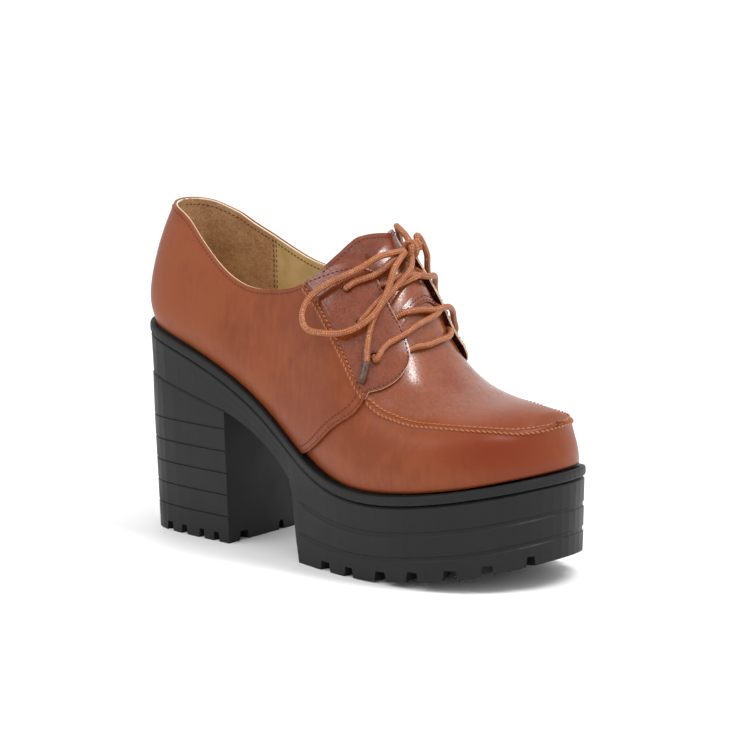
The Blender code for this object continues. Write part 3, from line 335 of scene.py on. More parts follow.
def shear(s):
    """How far a rib's foot lies behind its top, so that one rib runs along the quarter's front."""
    rear = np.clip((s - SHEAR_FROM) / (QUARTER_FRONT - SHEAR_FROM), 0, 1)
    ahead = np.clip((SHEAR_TO - s) / (SHEAR_TO - QUARTER_FRONT), 0, 1)
    return (QUARTER_FRONT - QUARTER_FOOT) * (1 - np.cos(math.pi * np.minimum(rear, ahead))) / 2


def side_point(side, t, v):
    """Points of the upper's side: t is the share of the length at the rib's top, v the share of the way up."""
    t, v = np.broadcast_arrays(np.asarray(t, float), np.asarray(v, float))
    bow = EDGE_BOW * np.sin(math.pi * v ** BOW_POWER)
    return wall_point(side, (t - shear(t) * (1 - v - bow)) * LENGTH, v)


# Finishes

SHADE_RED_TONE, DARKENED_SHARE = (0.155, 0.019, 0.001), 0.30   # darker, redder tone painted as shade on the toe; a fully darkened place keeps this share of the deep colour
COAT_ROUGHNESS, POLISH, DARKENED_ROUGHNESS = 0.20, 0.16, 0.1       # polish takes from the roughness, the darkened places (painted crease shade, eyelet rims) add to it
BRAID_PITCH, BRAID_STRANDS = 0.0021, 4


class Value:
    """A number that varies over a surface. Python's operators on it add Math nodes."""

    def __init__(self, finish, socket):
        self.finish, self.socket = finish, socket

    def math(self, operation, *values):
        return self.finish.node("Math", {"operation": operation}, dict(enumerate(values)))

    def __add__(self, other):
        return self.math("ADD", self, other)

    def __radd__(self, other):
        return self.math("ADD", other, self)

    def __sub__(self, other):
        return self.math("SUBTRACT", self, other)

    def __rsub__(self, other):
        return self.math("SUBTRACT", other, self)

    def __mul__(self, other):
        return self.math("MULTIPLY", self, other)

    def __rmul__(self, other):
        return self.math("MULTIPLY", other, self)

    def sin(self):
        return self.math("SINE", self)


class Finish:
    """A material that is built up on one Principled shader."""

    def __init__(self, name, colour, roughness):
        self.material = bpy.data.materials.new(name)
        self.material.use_nodes = True
        self.tree = self.material.node_tree
        self.shader = self.tree.nodes["Principled BSDF"]
        self.shader.inputs["Base Color"].default_value = (*colour, 1.0)
        self.shader.inputs["Roughness"].default_value = roughness

    def feed(self, socket, value):
        if isinstance(value, Value):
            self.tree.links.new(value.socket, socket)
        elif isinstance(value, tuple) and len(value) == 3 and socket.type == "RGBA":
            socket.default_value = (*value, 1.0)
        else:
            socket.default_value = value

    def node(self, kind, settings=None, inputs=None, out=0):
        """Adds a node of that type, with its settings first and then the values or links of its sockets."""
        made = self.tree.nodes.new("ShaderNode" + kind)
        for name, value in (settings or {}).items():
            setattr(made, name, value)
        for name, value in (inputs or {}).items():
            self.feed(made.inputs[name], value)
        return Value(self, made.outputs[out])

    def place(self, scale=(1.0, 1.0, 1.0)):
        """Object coordinates, stretched along the axes."""
        own = self.node("TexCoord", out="Object")
        return self.node("VectorMath", {"operation": "MULTIPLY"}, {0: own, 1: scale})

    def noise(self, place, size, detail=2.0, roughness=0.5):
        """Noise around 0.5 whose patches are about size metres across."""
        values = {"Vector": place, "Scale": 1.0 / size, "Detail": detail, "Roughness": roughness}
        return self.node("TexNoise", None, values)

    def cells(self, place, size):
        return self.node("TexVoronoi", {"feature": "F1"}, {"Vector": place, "Scale": 1.0 / size})

    def attribute(self, name):
        return self.node("Attribute", {"attribute_name": name}, out="Fac")

    def between(self, value, low, high, to_low=0.0, to_high=1.0):
        """value from low to high taken to another range, and held there."""
        ends = {1: low, 2: high, 3: to_low, 4: to_high}
        return self.node("MapRange", {"interpolation_type": "SMOOTHSTEP"}, {0: value, **ends})

    def mix(self, share, first, second):
        """Mixes two colours."""
        settings = {"data_type": "RGBA", "blend_type": "MIX"}
        return self.node("Mix", settings, {0: share, 6: first, 7: second}, out=2)

    def bump(self, height, strength):
        """Relief from height in metres."""
        return self.node("Bump", None, {"Height": height, "Strength": strength, "Distance": 1.0})

    def set(self, **inputs):
        for name, value in inputs.items():
            self.feed(self.shader.inputs[name.replace("_", " ")], value)
        return self.material


def leather(name, colour, deep, roughness, specular):
    """Smooth finished leather with fine pores. The attribute polish makes it glossier; the others make it darker,
    as painted shade in the creases and a plain darkening round the eyelets, and darker and redder, as painted
    shade on the toe."""
    f = Finish(name, colour, roughness)
    f.shader.inputs["Specular IOR Level"].default_value = specular
    f.shader.inputs["Coat Roughness"].default_value = COAT_ROUGHNESS
    place = f.place()
    clouds = f.noise(place, 0.045, 3.0)
    patches = f.noise(place, 0.007, 3.0)
    streaks = f.noise(f.place((1.0, 1.0, 0.18)), 0.0022, 3.0)
    pores = f.cells(place, 0.0010)
    speckle = f.noise(place, 0.0014, 2.0)
    grain = f.noise(place, 0.0006, 2.0)
    polish, crease_shade_eyelet_dark, shade_red = f.attribute("polish"), f.attribute("crease_shade_eyelet_dark"), f.attribute("shade_red")
    tone = f.between(clouds * 0.5 + patches * 0.25 + streaks * 0.25, 0.40, 0.60)
    base = f.mix(tone, deep, colour)
    # Painted shade: the toe's outer side and a patch on the apron take a darker, redder tone.
    base = f.mix(shade_red, base, SHADE_RED_TONE)
    # Painted shade darkens the creases; the leather round the eyelets is darkened too.
    base = f.mix(crease_shade_eyelet_dark, base, tuple(c * DARKENED_SHARE for c in deep))
    height = pores * 0.00003 + speckle * (0.00003 + polish * 0.00008) + streaks * 0.00003
    rough = roughness - polish * POLISH + f.between(patches, 0.35, 0.65, -0.03, 0.04) + crease_shade_eyelet_dark * DARKENED_ROUGHNESS
    coat = polish * f.between(grain, 0.40, 0.58, 0.15, 1.0)
    return f.set(Base_Color=base, Roughness=rough, Normal=f.bump(height, 0.7), Coat_Weight=coat)


def rubber(name, colour, specular):
    """Matte charcoal rubber."""
    f = Finish(name, colour, 0.55)
    f.shader.inputs["Specular IOR Level"].default_value = specular
    place = f.place()
    clouds = f.noise(place, 0.020, 3.0)
    fine = f.noise(place, 0.0005, 2.0)
    base = f.mix(f.between(clouds, 0.35, 0.65), colour, tuple(c * 1.3 for c in colour))
    rough = f.between(clouds, 0.3, 0.7, 0.44, 0.56)
    return f.set(Base_Color=base, Roughness=rough, Normal=f.bump(fine * 0.00004 + clouds * 0.0005, 0.5))


def lining_finish():
    """Smooth pale leather in front, napped suede at the heel, darker partly from its nap and partly as painted
    shade inside the heel, and a raw pale edge, by attributes.
    """
    f = Finish("lining", (0.50, 0.36, 0.17), 0.7)
    place = f.place()
    heel, edge = f.attribute("heel"), f.attribute("edge")
    nap = f.noise(place, 0.0012, 4.0, 0.7)
    clouds = f.noise(place, 0.012, 3.0)
    tufts = f.between(nap * 0.6 + clouds * 0.4, 0.38, 0.62)
    # The suede is darker partly from its nap and partly as painted shade inside the heel.
    suede_with_shade = f.mix(tufts, (0.36, 0.185, 0.080), (0.52, 0.31, 0.155))
    plain = f.mix(f.between(clouds, 0.35, 0.65), (0.52, 0.36, 0.150), (0.62, 0.45, 0.205))
    base = f.mix(edge, f.mix(heel, plain, suede_with_shade), (0.80, 0.66, 0.48))
    relief = f.bump(nap * 0.0003 * (0.2 + heel), 0.8)
    return f.set(Base_Color=base, Roughness=0.62 + heel * 0.3, Normal=relief)


def lace_finish():
    """Waxed braided cord: strands cross in both directions round the cord."""
    f = Finish("lace_cord", (0.50, 0.20, 0.07), 0.42)
    around = f.node("UVMap", {"uv_map": "around"})
    run, turn = (f.node("SeparateXYZ", None, {0: around}, out=k) for k in (0, 1))
    pitch, strands = 2 * math.pi / BRAID_PITCH, 2 * math.pi * BRAID_STRANDS
    braid = (run * pitch + turn * strands).sin() * (run * pitch - turn * strands).sin()
    clouds = f.noise(f.place(), 0.004, 3.0)
    tone = f.between(braid * 0.5 + 0.5, 0.15, 0.85)
    base = f.mix(tone, (0.19, 0.046, 0.012), (0.42, 0.135, 0.040))
    base = f.mix(f.between(clouds, 0.40, 0.70, 0.0, 0.5), base, (0.20, 0.050, 0.014))
    # Painted glints: pale flecks stand in for small highlights on the waxed cord.
    painted_glints = f.between(f.noise(f.place(), 0.0009, 2.0), 0.60, 0.70, 0.0, 0.55)
    base = f.mix(painted_glints, base, (0.72, 0.38, 0.19))
    return f.set(Base_Color=base, Normal=f.bump(braid * 0.00009 + clouds * 0.0001, 0.9))


def thread_finish(name, colour):
    f = Finish(name, colour, 0.5)
    twist = f.noise(f.place((1.0, 1.0, 1.6)), 0.0004, 1.0)
    base = f.mix(f.between(twist, 0.35, 0.65), tuple(c * 0.55 for c in colour), colour)
    return f.set(Base_Color=base, Normal=f.bump(twist * 0.00005, 0.6))


def raw_edge_finish():
    """Cut edge of the facing, pale and fibrous."""
    f = Finish("raw_edge", (0.70, 0.50, 0.36), 0.8)
    fibre = f.noise(f.place((1.0, 1.0, 2.0)), 0.0006, 3.0)
    base = f.mix(f.between(fibre, 0.35, 0.65), (0.45, 0.26, 0.15), (0.80, 0.62, 0.47))
    return f.set(Base_Color=base, Normal=f.bump(fibre * 0.0001, 0.6))


def aglet_finish():
    """Dark film wound round the lace's end."""
    f = Finish("aglet_film", (0.07, 0.03, 0.02), 0.28)
    cloud = f.noise(f.place(), 0.002, 2.0)
    base = f.mix(f.between(cloud, 0.3, 0.7), (0.045, 0.018, 0.012), (0.10, 0.045, 0.028))
    return f.set(Base_Color=base, Roughness=f.between(cloud, 0.3, 0.7, 0.22, 0.36))


def floor_finish():
    return Finish("pale_floor", (0.97, 0.97, 0.97), 0.6).material


# Making pieces

MERGE = 1e-6               # points closer than this are one
BEVEL_ANGLE = 50.0         # edges sharper than this many degrees are rounded
EDGE_ROUND, FACING_ROUND = 0.0004, 0.00022


def finish_piece(name, bm, materials, replaces=(), smooth_angle=40.0):
    """Object from a bmesh, moved to the part's frame and riding on the shoe."""
    bmesh.ops.translate(bm, vec=tuple(-MIDDLE), verts=bm.verts)
    mesh = bpy.data.meshes.new(name)
    bm.to_mesh(mesh)
    bm.free()
    mesh.shade_smooth()
    mesh.set_sharp_from_angle(angle=math.radians(smooth_angle))
    piece = bpy.data.objects.new(name, mesh)
    bpy.context.scene.collection.objects.link(piece)
    for material in materials:
        mesh.materials.append(material)
    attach(piece, "root")
    if replaces:
        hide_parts(*replaces)
    return piece


def patch(bm, across, down, place, run=None):
    """Grid of faces. place gives its points for shares a (across) and b (down) from 0 to 1. With run, the
    length that a stands for, the faces get the UV map around."""
    made = bmesh.ops.create_grid(bm, x_segments=across, y_segments=down, size=0.5)["verts"]
    shares = np.array([v.co[:2] for v in made]) + 0.5
    if run:
        layer = bm.loops.layers.uv.new("around")
        for v, (a, b) in zip(made, shares):
            for corner in v.link_loops:
                corner[layer].uv = (a * run, b)
    for v, p in zip(made, place(shares[:, 0], shares[:, 1])):
        v.co = p


def face_out(bm, outward):
    """Merges doubles and turns the faces so that outward(points, normals) is positive on the whole."""
    bmesh.ops.remove_doubles(bm, verts=bm.verts, dist=MERGE)
    bmesh.ops.recalc_face_normals(bm, faces=bm.faces)
    bm.normal_update()
    points = np.array([v.co for v in bm.verts])
    normals = np.array([v.normal for v in bm.verts])
    if outward(points, normals) < 0:
        bmesh.ops.reverse_faces(bm, faces=bm.faces)
        bm.normal_update()


def upward_and_out(points, normals):
    return float(np.sum(normals[:, 1] * np.sign(points[:, 1])) + np.sum(normals[:, 2]))


def push(bm, amount):
    """Moves every vertex along its normal by amount(points)."""
    bm.normal_update()
    points = np.array([v.co for v in bm.verts])
    normals = [v.normal.copy() for v in bm.verts]
    for v, n, d in zip(bm.verts, normals, np.broadcast_to(amount(points), len(points))):
        v.co += n * float(d)
    bm.normal_update()


def away_from(points, line):
    """Distance from each point to the nearest of a fine line's points."""
    gap = np.full(len(points), np.inf)
    for q in line:
        gap = np.minimum(gap, np.linalg.norm(points - q, axis=1))
    return gap


def thicken(piece, thickness, rim_material=0):
    mod = piece.modifiers.new("thickness", "SOLIDIFY")
    mod.thickness = thickness
    mod.offset = -1.0
    mod.use_rim = True
    mod.material_offset_rim = rim_material


def round_edges(piece, width):
    mod = piece.modifiers.new("round", "BEVEL")
    mod.width = width
    mod.segments = 2
    mod.limit_method = "ANGLE"
    mod.angle_limit = math.radians(BEVEL_ANGLE)


def write_layer(bm, name, values):
    layer = bm.verts.layers.float.get(name) or bm.verts.layers.float.new(name)
    for v, value in zip(bm.verts, np.broadcast_to(values, len(bm.verts))):
        v[layer] = float(value)


def along(rows):
    """Smooth line through a short table, for shares from 0 to 1."""
    return spline(np.linspace(0, 1, len(rows)), np.array(rows, float))


def beside(edge, inner, distance):
    """Points at a distance from an edge towards points further in."""
    way = inner - edge
    return edge + way / np.linalg.norm(way, axis=1)[:, None] * distance


def evenly(points, spacing):
    """Points at even spacing along a line of points."""
    t = np.concatenate([[0], np.cumsum(np.linalg.norm(np.diff(points, axis=0), axis=1))])
    even = np.linspace(0, t[-1], max(3, int(round(t[-1] / spacing)) + 1))
    return np.stack([np.interp(even, t, points[:, k]) for k in range(3)], -1)


# Upper

def around_heel(a):
    """Side and top station for a share of the way round the quarter, from the outer front over the heel to the
    inner front."""
    s = 2 * a - 1
    return np.where(s < 0, -1, 1), QUARTER_FRONT * np.abs(s) ** 1.6


def both_sides(side, t, v):
    """side_point for arrays in which the sides are mixed."""
    return np.where((side < 0)[:, None], side_point(-1, t, v), side_point(1, t, v))


# Fine lines of points, and the raised seam's height, reach and middle crease.
SEAM_DENSE = np.vstack([side_point(s, np.linspace(JUNCTION, 1.0, 260), 1.0) for s in (-1, 1)])
COLLAR_DENSE = np.vstack([side_point(s, np.linspace(0, JUNCTION, 240), 1.0) for s in (-1, 1)])
RIDGE_HEIGHT, RIDGE_REACH, RIDGE_GROOVE, GROOVE_REACH = 0.0009, 0.0017, 0.00035, 0.00055
# Faces across and down.
QUARTER_GRID, LINING_GRID, SIDE_GRID, APRON_GRID = (260, 44), (240, 36), (120, 40), (120, 70)
FACING_GRID, TONGUE_GRID = (52, 76), (64, 60)
CREASE_SHADE = 0.22         # painted shade: the sharpest crease is darker by this share


def ridge(points):
    """Height of the raised seam at points of the upper, with a crease along its middle."""
    d = away_from(points, SEAM_DENSE)
    return RIDGE_HEIGHT * np.exp(-(d / RIDGE_REACH) ** 2) - RIDGE_GROOVE * np.exp(-(d / GROOVE_REACH) ** 2)


# Creases of the outer quarter: top stations and shares of the way up, then depth and reach in metres.
CREASES = (
    (((0.538, 0.87), (0.525, 0.80), (0.505, 0.67), (0.480, 0.54), (0.460, 0.45)), 0.00050, 0.0016),
    (((0.523, 0.92), (0.500, 0.80), (0.474, 0.68)), 0.00022, 0.0030),
    (((0.620, 0.95), (0.608, 0.74), (0.603, 0.57)), 0.00030, 0.0022),
    (((0.578, 0.80), (0.572, 0.60), (0.567, 0.42)), 0.00028, 0.0040),
    (((0.330, 0.80), (0.300, 0.55), (0.290, 0.35)), 0.00030, 0.0070),
    (((0.180, 0.75), (0.170, 0.45), (0.190, 0.20)), 0.00025, 0.0080))


def crease(points, rows, depth, reach):
    """Soft trough along a line on the outer quarter, fading at both ends."""
    s = np.linspace(0, 1, 40)
    line = side_point(-1, *along(rows)(s).T)
    d = np.linalg.norm(points[:, None] - line[None], axis=2)
    fade = np.sin(math.pi * (0.05 + 0.9 * s))[d.argmin(axis=1)]
    return depth * fade * np.exp(-(d.min(axis=1) / reach) ** 2)


def creases(points):
    return sum(crease(points, *row) for row in CREASES)


def quarter(brown):
    bm = bmesh.new()

    def place(a, b):
        side, t = around_heel(a)
        return both_sides(side, t, 1 - (1 - b) ** 1.25)
    patch(bm, *QUARTER_GRID, place)
    face_out(bm, upward_and_out)
    sharp = crease(np.array([v.co for v in bm.verts]), *CREASES[0]) / CREASES[0][1]
    push(bm, lambda p: OVERLAY_STEP + ridge(p) - creases(p))
    write_layer(bm, "polish", 0.0)
    # Painted shade along the sharpest crease's trough.
    write_layer(bm, "crease_shade_eyelet_dark", CREASE_SHADE * sharp)
    surface = BVHTree.FromBMesh(bm)
    piece = finish_piece("quarter", bm, [brown], ["upper"])
    thicken(piece, LEATHER)
    round_edges(piece, EDGE_ROUND)
    return surface


# The lining ends at these shares of the quarter's run and of the way up under the seam.
LINING_FRONT, LINING_UNDER, UNDER_REACH = 0.97, 0.05, 0.02
LINING_FOOT = 0.04         # its foot lies this share of the way up
# Its seam on the inner side: top stations and shares of the way up, then height and reach of the ridge.
LINING_SEAM = ((0.196, 0.10), (0.198, 0.43), (0.203, 0.65), (0.212, 0.97))
JOIN_HEIGHT, JOIN_REACH, HEEL_FADE = 0.0003, 0.0006, 0.0012
PALE_OUTER, PALE_INNER = 0.0007, 0.0004   # reach of the collar's pale edge on each side
LINING_GAP = 0.00005       # between the leather and the lining


def lining(finish):
    bm = bmesh.new()

    def place(a, b):
        side, t = around_heel(a)
        t = t * LINING_FRONT
        top = 1 - LINING_UNDER * smooth((t - JUNCTION) / UNDER_REACH)
        return both_sides(side, t, LINING_FOOT + (top - LINING_FOOT) * (1 - (1 - b) ** 1.6))
    patch(bm, *LINING_GRID, place)
    face_out(bm, upward_and_out)
    points = np.array([v.co for v in bm.verts])
    line = side_point(1, *along(LINING_SEAM)(np.linspace(0, 1, 40)).T)
    join = np.interp(points[:, 2], line[:, 2], line[:, 0])
    write_layer(bm, "heel", smooth((join - points[:, 0]) / HEEL_FADE + 0.5))
    fall = np.where(points[:, 1] < 0, PALE_OUTER, PALE_INNER)
    write_layer(bm, "edge", smooth(1.5 - away_from(points, COLLAR_DENSE) / fall))
    push(bm, lambda p: OVERLAY_STEP - LEATHER - LINING_GAP + JOIN_HEIGHT * np.exp(-(np.abs(
        p[:, 0] - np.interp(p[:, 2], line[:, 2], line[:, 0])) / JOIN_REACH) ** 2))
    surface = BVHTree.FromBMesh(bm)
    piece = finish_piece("lining", bm, [finish], ["upper"])
    thicken(piece, LINING)
    return surface


# The apron's rows close up at the seam's tip, where points closer than TIP_MERGE are one, and flatten out before
# it. The vamp runs on under the quarter by VAMP_LAP.
TIP_FROM, TIP_REACH, TIP_MERGE, VAMP_LAP = 0.972, 0.035, 0.0001, 0.022
# Darker, redder places painted as shade, on the toe's outer side and by the apron's hollows: centre, reach along
# the shoe and upward, strength.
SHADE_RED_PATCHES = (
    (side_point(-1, [0.935], 0.50)[0], 0.030, 0.012, 1.0),
    (instep(0.745 * LENGTH, -0.20), 0.007, 0.010, 0.70))
# Soft hollows of the apron below the laces: x share, u, depth, reach along and across in metres.
HOLLOWS = (
    (0.708, -0.10, 0.0009, 0.006, 0.013), (0.735, -0.34, 0.0006, 0.009, 0.006),
    (0.742, 0.20, 0.0005, 0.008, 0.008))
HOLLOW_DROP = 0.012        # they reach this far down from their middle
POLISH_RISE, POLISH_END, POLISH_FADE = 0.004, 0.95, 0.05   # the polish above the seam ends before the tip


def vamp(brown):
    bm = bmesh.new()
    back = QUARTER_FRONT - VAMP_LAP

    def station(a):
        return 1 - (1 - back) * (1 - a) ** 1.7
    for side in (-1, 1):
        patch(bm, *SIDE_GRID, lambda a, b: side_point(side, station(a), 1 - (1 - b) ** 1.35))

    def apron(a, b):
        t, q = station(a), 2 * b - 1
        u = 0.5 * q + 0.5 * np.sin(math.pi / 2 * q)
        ends = [side_point(s, t, 1.0) for s in (-1, 1)]
        x = ends[0][:, 0] + (ends[1][:, 0] - ends[0][:, 0]) * b
        chord = ends[0] + (ends[1] - ends[0]) * b[:, None]
        p = chord + (instep(x, u) - chord) * smooth((1 - t) / TIP_REACH)[:, None]
        p = np.where((b < MERGE)[:, None], ends[0], p)
        return np.where((b > 1 - MERGE)[:, None], ends[1], p)
    patch(bm, *APRON_GRID, apron)
    face_out(bm, upward_and_out)
    tip = [v for v in bm.verts if v.co.x > TIP_FROM * LENGTH]
    bmesh.ops.remove_doubles(bm, verts=tip, dist=TIP_MERGE)
    push(bm, lambda p: ridge(p) - hollow(p))
    points = np.array([v.co for v in bm.verts])
    inner, outer = (np.interp(points[:, 0], SEAM_LINE[s][:, 0], SEAM_LINE[s][:, 2]) for s in (1, -1))
    edge = np.where(points[:, 1] < 0, outer, inner)
    fade = smooth((POLISH_END * LENGTH - points[:, 0]) / POLISH_FADE)
    write_layer(bm, "polish", smooth((points[:, 2] - edge) / POLISH_RISE) * fade)
    write_layer(bm, "crease_shade_eyelet_dark", 0.0)
    # Painted shade: darker, redder places on the toe's outer side and the apron.
    write_layer(bm, "shade_red", np.clip(sum(patch_share(points, *row) for row in SHADE_RED_PATCHES), 0, 1))
    surface = BVHTree.FromBMesh(bm)
    piece = finish_piece("vamp", bm, [brown], ["upper"])
    thicken(piece, LEATHER)
    return surface


def patch_share(points, centre, reach, rise, strength):
    """Strength of a soft round patch at points."""
    away = np.linalg.norm((points - centre)[:, :2], axis=1) / reach
    return strength * np.exp(-away ** 2 - ((points[:, 2] - centre[2]) / rise) ** 2)


def hollow(points):
    """Depth of the apron's hollows at points."""
    total = np.zeros(len(points))
    for x, u, depth, reach_x, reach_y in HOLLOWS:
        c = instep(x * LENGTH, u)
        away = ((points[:, 0] - c[0]) / reach_x) ** 2 + ((points[:, 1] - c[1]) / reach_y) ** 2
        total += depth * np.exp(-away) * (points[:, 2] > c[2] - HOLLOW_DROP)
    return total


# Facings and tongue

# The facing's rear edge dips under the quarter by TUCK and runs on by TUCK_SHARE of the way from the crest to
# the seam, over TUCK_REACH of its width.
TUCK, TUCK_SHARE, TUCK_REACH = 0.0010, 0.045, 0.05
EYELET_DARKENING, EYELET_FADE = 0.6, 0.0006   # the leather round an eyelet is darker by this share, over this reach


def facing_plan(r, s):
    """Share of the length and of the way to the seam, for shares r from rear to front and s from top to
    foot."""
    top, foot, front = along(FACING_TOP)(r), along(FACING_FOOT)(r), along(FACING_FRONT)(s)
    a, b, c, d = (np.array(p) for p in (FACING_TOP[0], FACING_FOOT[0], FACING_TOP[-1], FACING_FOOT[-1]))
    r, s = r[:, None], s[:, None]
    rear = a + (b - a) * s
    corners = (1 - r) * ((1 - s) * a + s * b) + r * ((1 - s) * c + s * d)
    return (1 - s) * top + s * foot + (1 - r) * rear + r * front - corners


def facing_point(side, r, s):
    plan = facing_plan(r, s)
    plan[:, 1] += TUCK_SHARE * smooth(1 - r / TUCK_REACH)
    p, n = instep_frame(plan[:, 0] * LENGTH, side * plan[:, 1])
    corner = CORNER_LIFT * smooth(2 * r - 1) * smooth(2.5 * s - 1.5)
    lift = FACING_LIFT + (INNER_LIFT * r ** 2 if side > 0 else corner)
    tucked = smooth(1 - r / TUCK_REACH)
    return p + n * (lift - TUCK * tucked + ridge(p) * (1 - tucked))[:, None]


def facing(name, side, gloss, edge):
    bm = bmesh.new()
    patch(bm, *FACING_GRID, lambda a, b: facing_point(side, a, b))
    face_out(bm, lambda p, n: float(n[:, 2].sum()))
    surface = BVHTree.FromBMesh(bm)
    radius = EYELET_DIAMETER / 2
    for x, u in EYELETS:
        p, n = instep_frame(np.array([x * LENGTH]), np.array([side * u]))
        centre, normal = surface.find_nearest(Vector(p[0] + n[0] * FACING_LIFT))[:2]
        inside = [f for f in bm.faces if (f.calc_center_median() - centre).length < radius * 0.93]
        bmesh.ops.delete(bm, geom=inside, context="FACES")
        for v in bm.verts:
            if v.is_boundary and (v.co - centre).length < 1.5 * radius:
                out = v.co - centre
                out -= normal * out.dot(normal)
                v.co = centre + out.normalized() * radius
    write_layer(bm, "polish", 1.0)
    points = np.array([v.co for v in bm.verts])
    rims = [surface.find_nearest(Vector(p + n * FACING_LIFT))[0] for p, n in (
        instep_frame(x * LENGTH, side * u) for x, u in EYELETS)]
    past = (away_from(points, np.array(rims)) - radius) / EYELET_FADE
    write_layer(bm, "crease_shade_eyelet_dark", EYELET_DARKENING * smooth(1.5 - past))
    piece = finish_piece(name, bm, [gloss, edge], [name])
    thicken(piece, FACING_SHEET, 1)
    round_edges(piece, FACING_ROUND)
    return surface


def tongue_plan(s, t):
    """Share of the length and of the way to the seam, for shares s from foot to top and t from -1 to 1
    across."""
    rows = np.array(TONGUE)
    width, lag = spline(rows[:, 0], rows[:, 1:])(s).T
    x = APRON_BACK * (1 - s) + TONGUE_TOP * s - lag * np.abs(t) ** TONGUE_ARCH
    return x, width * t


def tongue_point(s, t):
    x, u = tongue_plan(s, t)
    edge = np.array(FACING_TOP)
    edge_x = np.interp(np.abs(u), edge[::-1, 1], edge[::-1, 0])
    rise = smooth(((edge_x - x) * LENGTH - FLARE_FROM) / FLARE_REACH) * (1 - np.abs(t) ** TONGUE_TUCK)
    rise = rise * smooth((FADE_FROM - t) / FADE_REACH)
    foot = smooth(1 - s / FOOT_REACH)
    p, n = instep_frame((x + FOOT_PULL * foot) * LENGTH, u)
    return p + n * (TONGUE_FLARE * rise - TONGUE_SINK + TONGUE_OVERLAP * foot)[:, None]


def tongue(gloss, edge):
    bm = bmesh.new()
    patch(bm, *TONGUE_GRID, lambda a, b: tongue_point(1 - (1 - a) ** 1.2, 2 * b - 1))
    face_out(bm, lambda p, n: float(n[:, 2].sum()))
    write_layer(bm, "polish", 1.0)
    write_layer(bm, "crease_shade_eyelet_dark", 0.0)
    surface = BVHTree.FromBMesh(bm)
    piece = finish_piece("tongue", bm, [gloss, edge], ["tongue"])
    thicken(piece, TONGUE_SHEET)
    round_edges(piece, EDGE_ROUND)
    return surface


# Stitches

# Distance of each row from its edge, in metres.
SEAM_STITCH, EDGE_ROWS, COLLAR_ROW, FACING_ROW = 0.0010, (0.0014, 0.0046), 0.0021, 0.0014
LINING_ROW = 0.0030        # the inner collar's stitches show on the lining
TONGUE_ROW, FOOT_ROWS, JOIN_ROWS = 0.0020, (0.0011, 0.0032), (-0.0011, 0.0011)
INWARD = 0.93              # a point this share of the way up shows the way in from the seam or collar
SLANT = 0.35               # the seam's stitches lie at this angle, opposite in its two rows
# Pitch, length, width and lift of the other rows. On the lining they lie on its far face.
FINE = 0.0022, 0.0016, 0.00065, 0.00012
COLLAR_FINE = 0.0023, 0.0017, 0.0006, -LINING - 0.0002
JOIN_FINE = 0.0026, 0.0018, 0.0005, -LINING - 0.0001


def stitch_row(bm, line, surface, pitch=0.0024, length=0.0026, width=0.00100, lift=0.00020, slant=0.0):
    """Separate stitches along a line, lying on a surface and turned from the line by an angle."""
    places = evenly(line, pitch)
    for a, b in zip(places, places[1:]):
        middle = surface.find_nearest(Vector((a + b) / 2))
        centre, normal = middle[0], middle[1]
        way = Vector(b - a).normalized()
        way = Quaternion(normal, slant) @ (way - normal * way.dot(normal)).normalized()
        side = normal.cross(way).normalized()
        turn = Matrix((way * length / 2, side * width / 2, normal * width * 0.45)).transposed().to_4x4()
        place = Matrix.Translation(centre + normal * lift) @ turn
        bmesh.ops.create_uvsphere(bm, u_segments=6, v_segments=4, radius=1.0, matrix=place)


def seam_stitches(quarter_top, vamp_top, facings, tan):
    bm = bmesh.new()
    rear = np.linspace(JUNCTION + 0.004, QUARTER_FRONT - 0.002, 80)
    front = 1 - (1 - QUARTER_FRONT - 0.004) * (1 - np.linspace(0, 1, 200)) ** 1.5
    s = np.linspace(0.02, 0.98, 80)
    for side in (-1, 1):
        edge = side_point(side, rear, 1.0)
        row = beside(edge, side_point(side, rear, INWARD), SEAM_STITCH)
        stitch_row(bm, row, quarter_top, slant=side * SLANT)
        row = beside(facing_point(side, np.zeros(80), s), facing_point(side, np.full(80, 0.15), s), SEAM_STITCH)
        stitch_row(bm, row, facings[side], slant=-side * SLANT)
        edge = side_point(side, front, 1.0)
        row = beside(edge, side_point(side, front, INWARD), SEAM_STITCH)
        stitch_row(bm, row, vamp_top, slant=side * SLANT)
        x = edge[:, 0]
        row = beside(edge, instep(x - 0.0004, np.full(len(x), side * 0.9)), SEAM_STITCH)
        stitch_row(bm, row, vamp_top, slant=-side * SLANT)
    finish_piece("seam_stitches", bm, [tan])


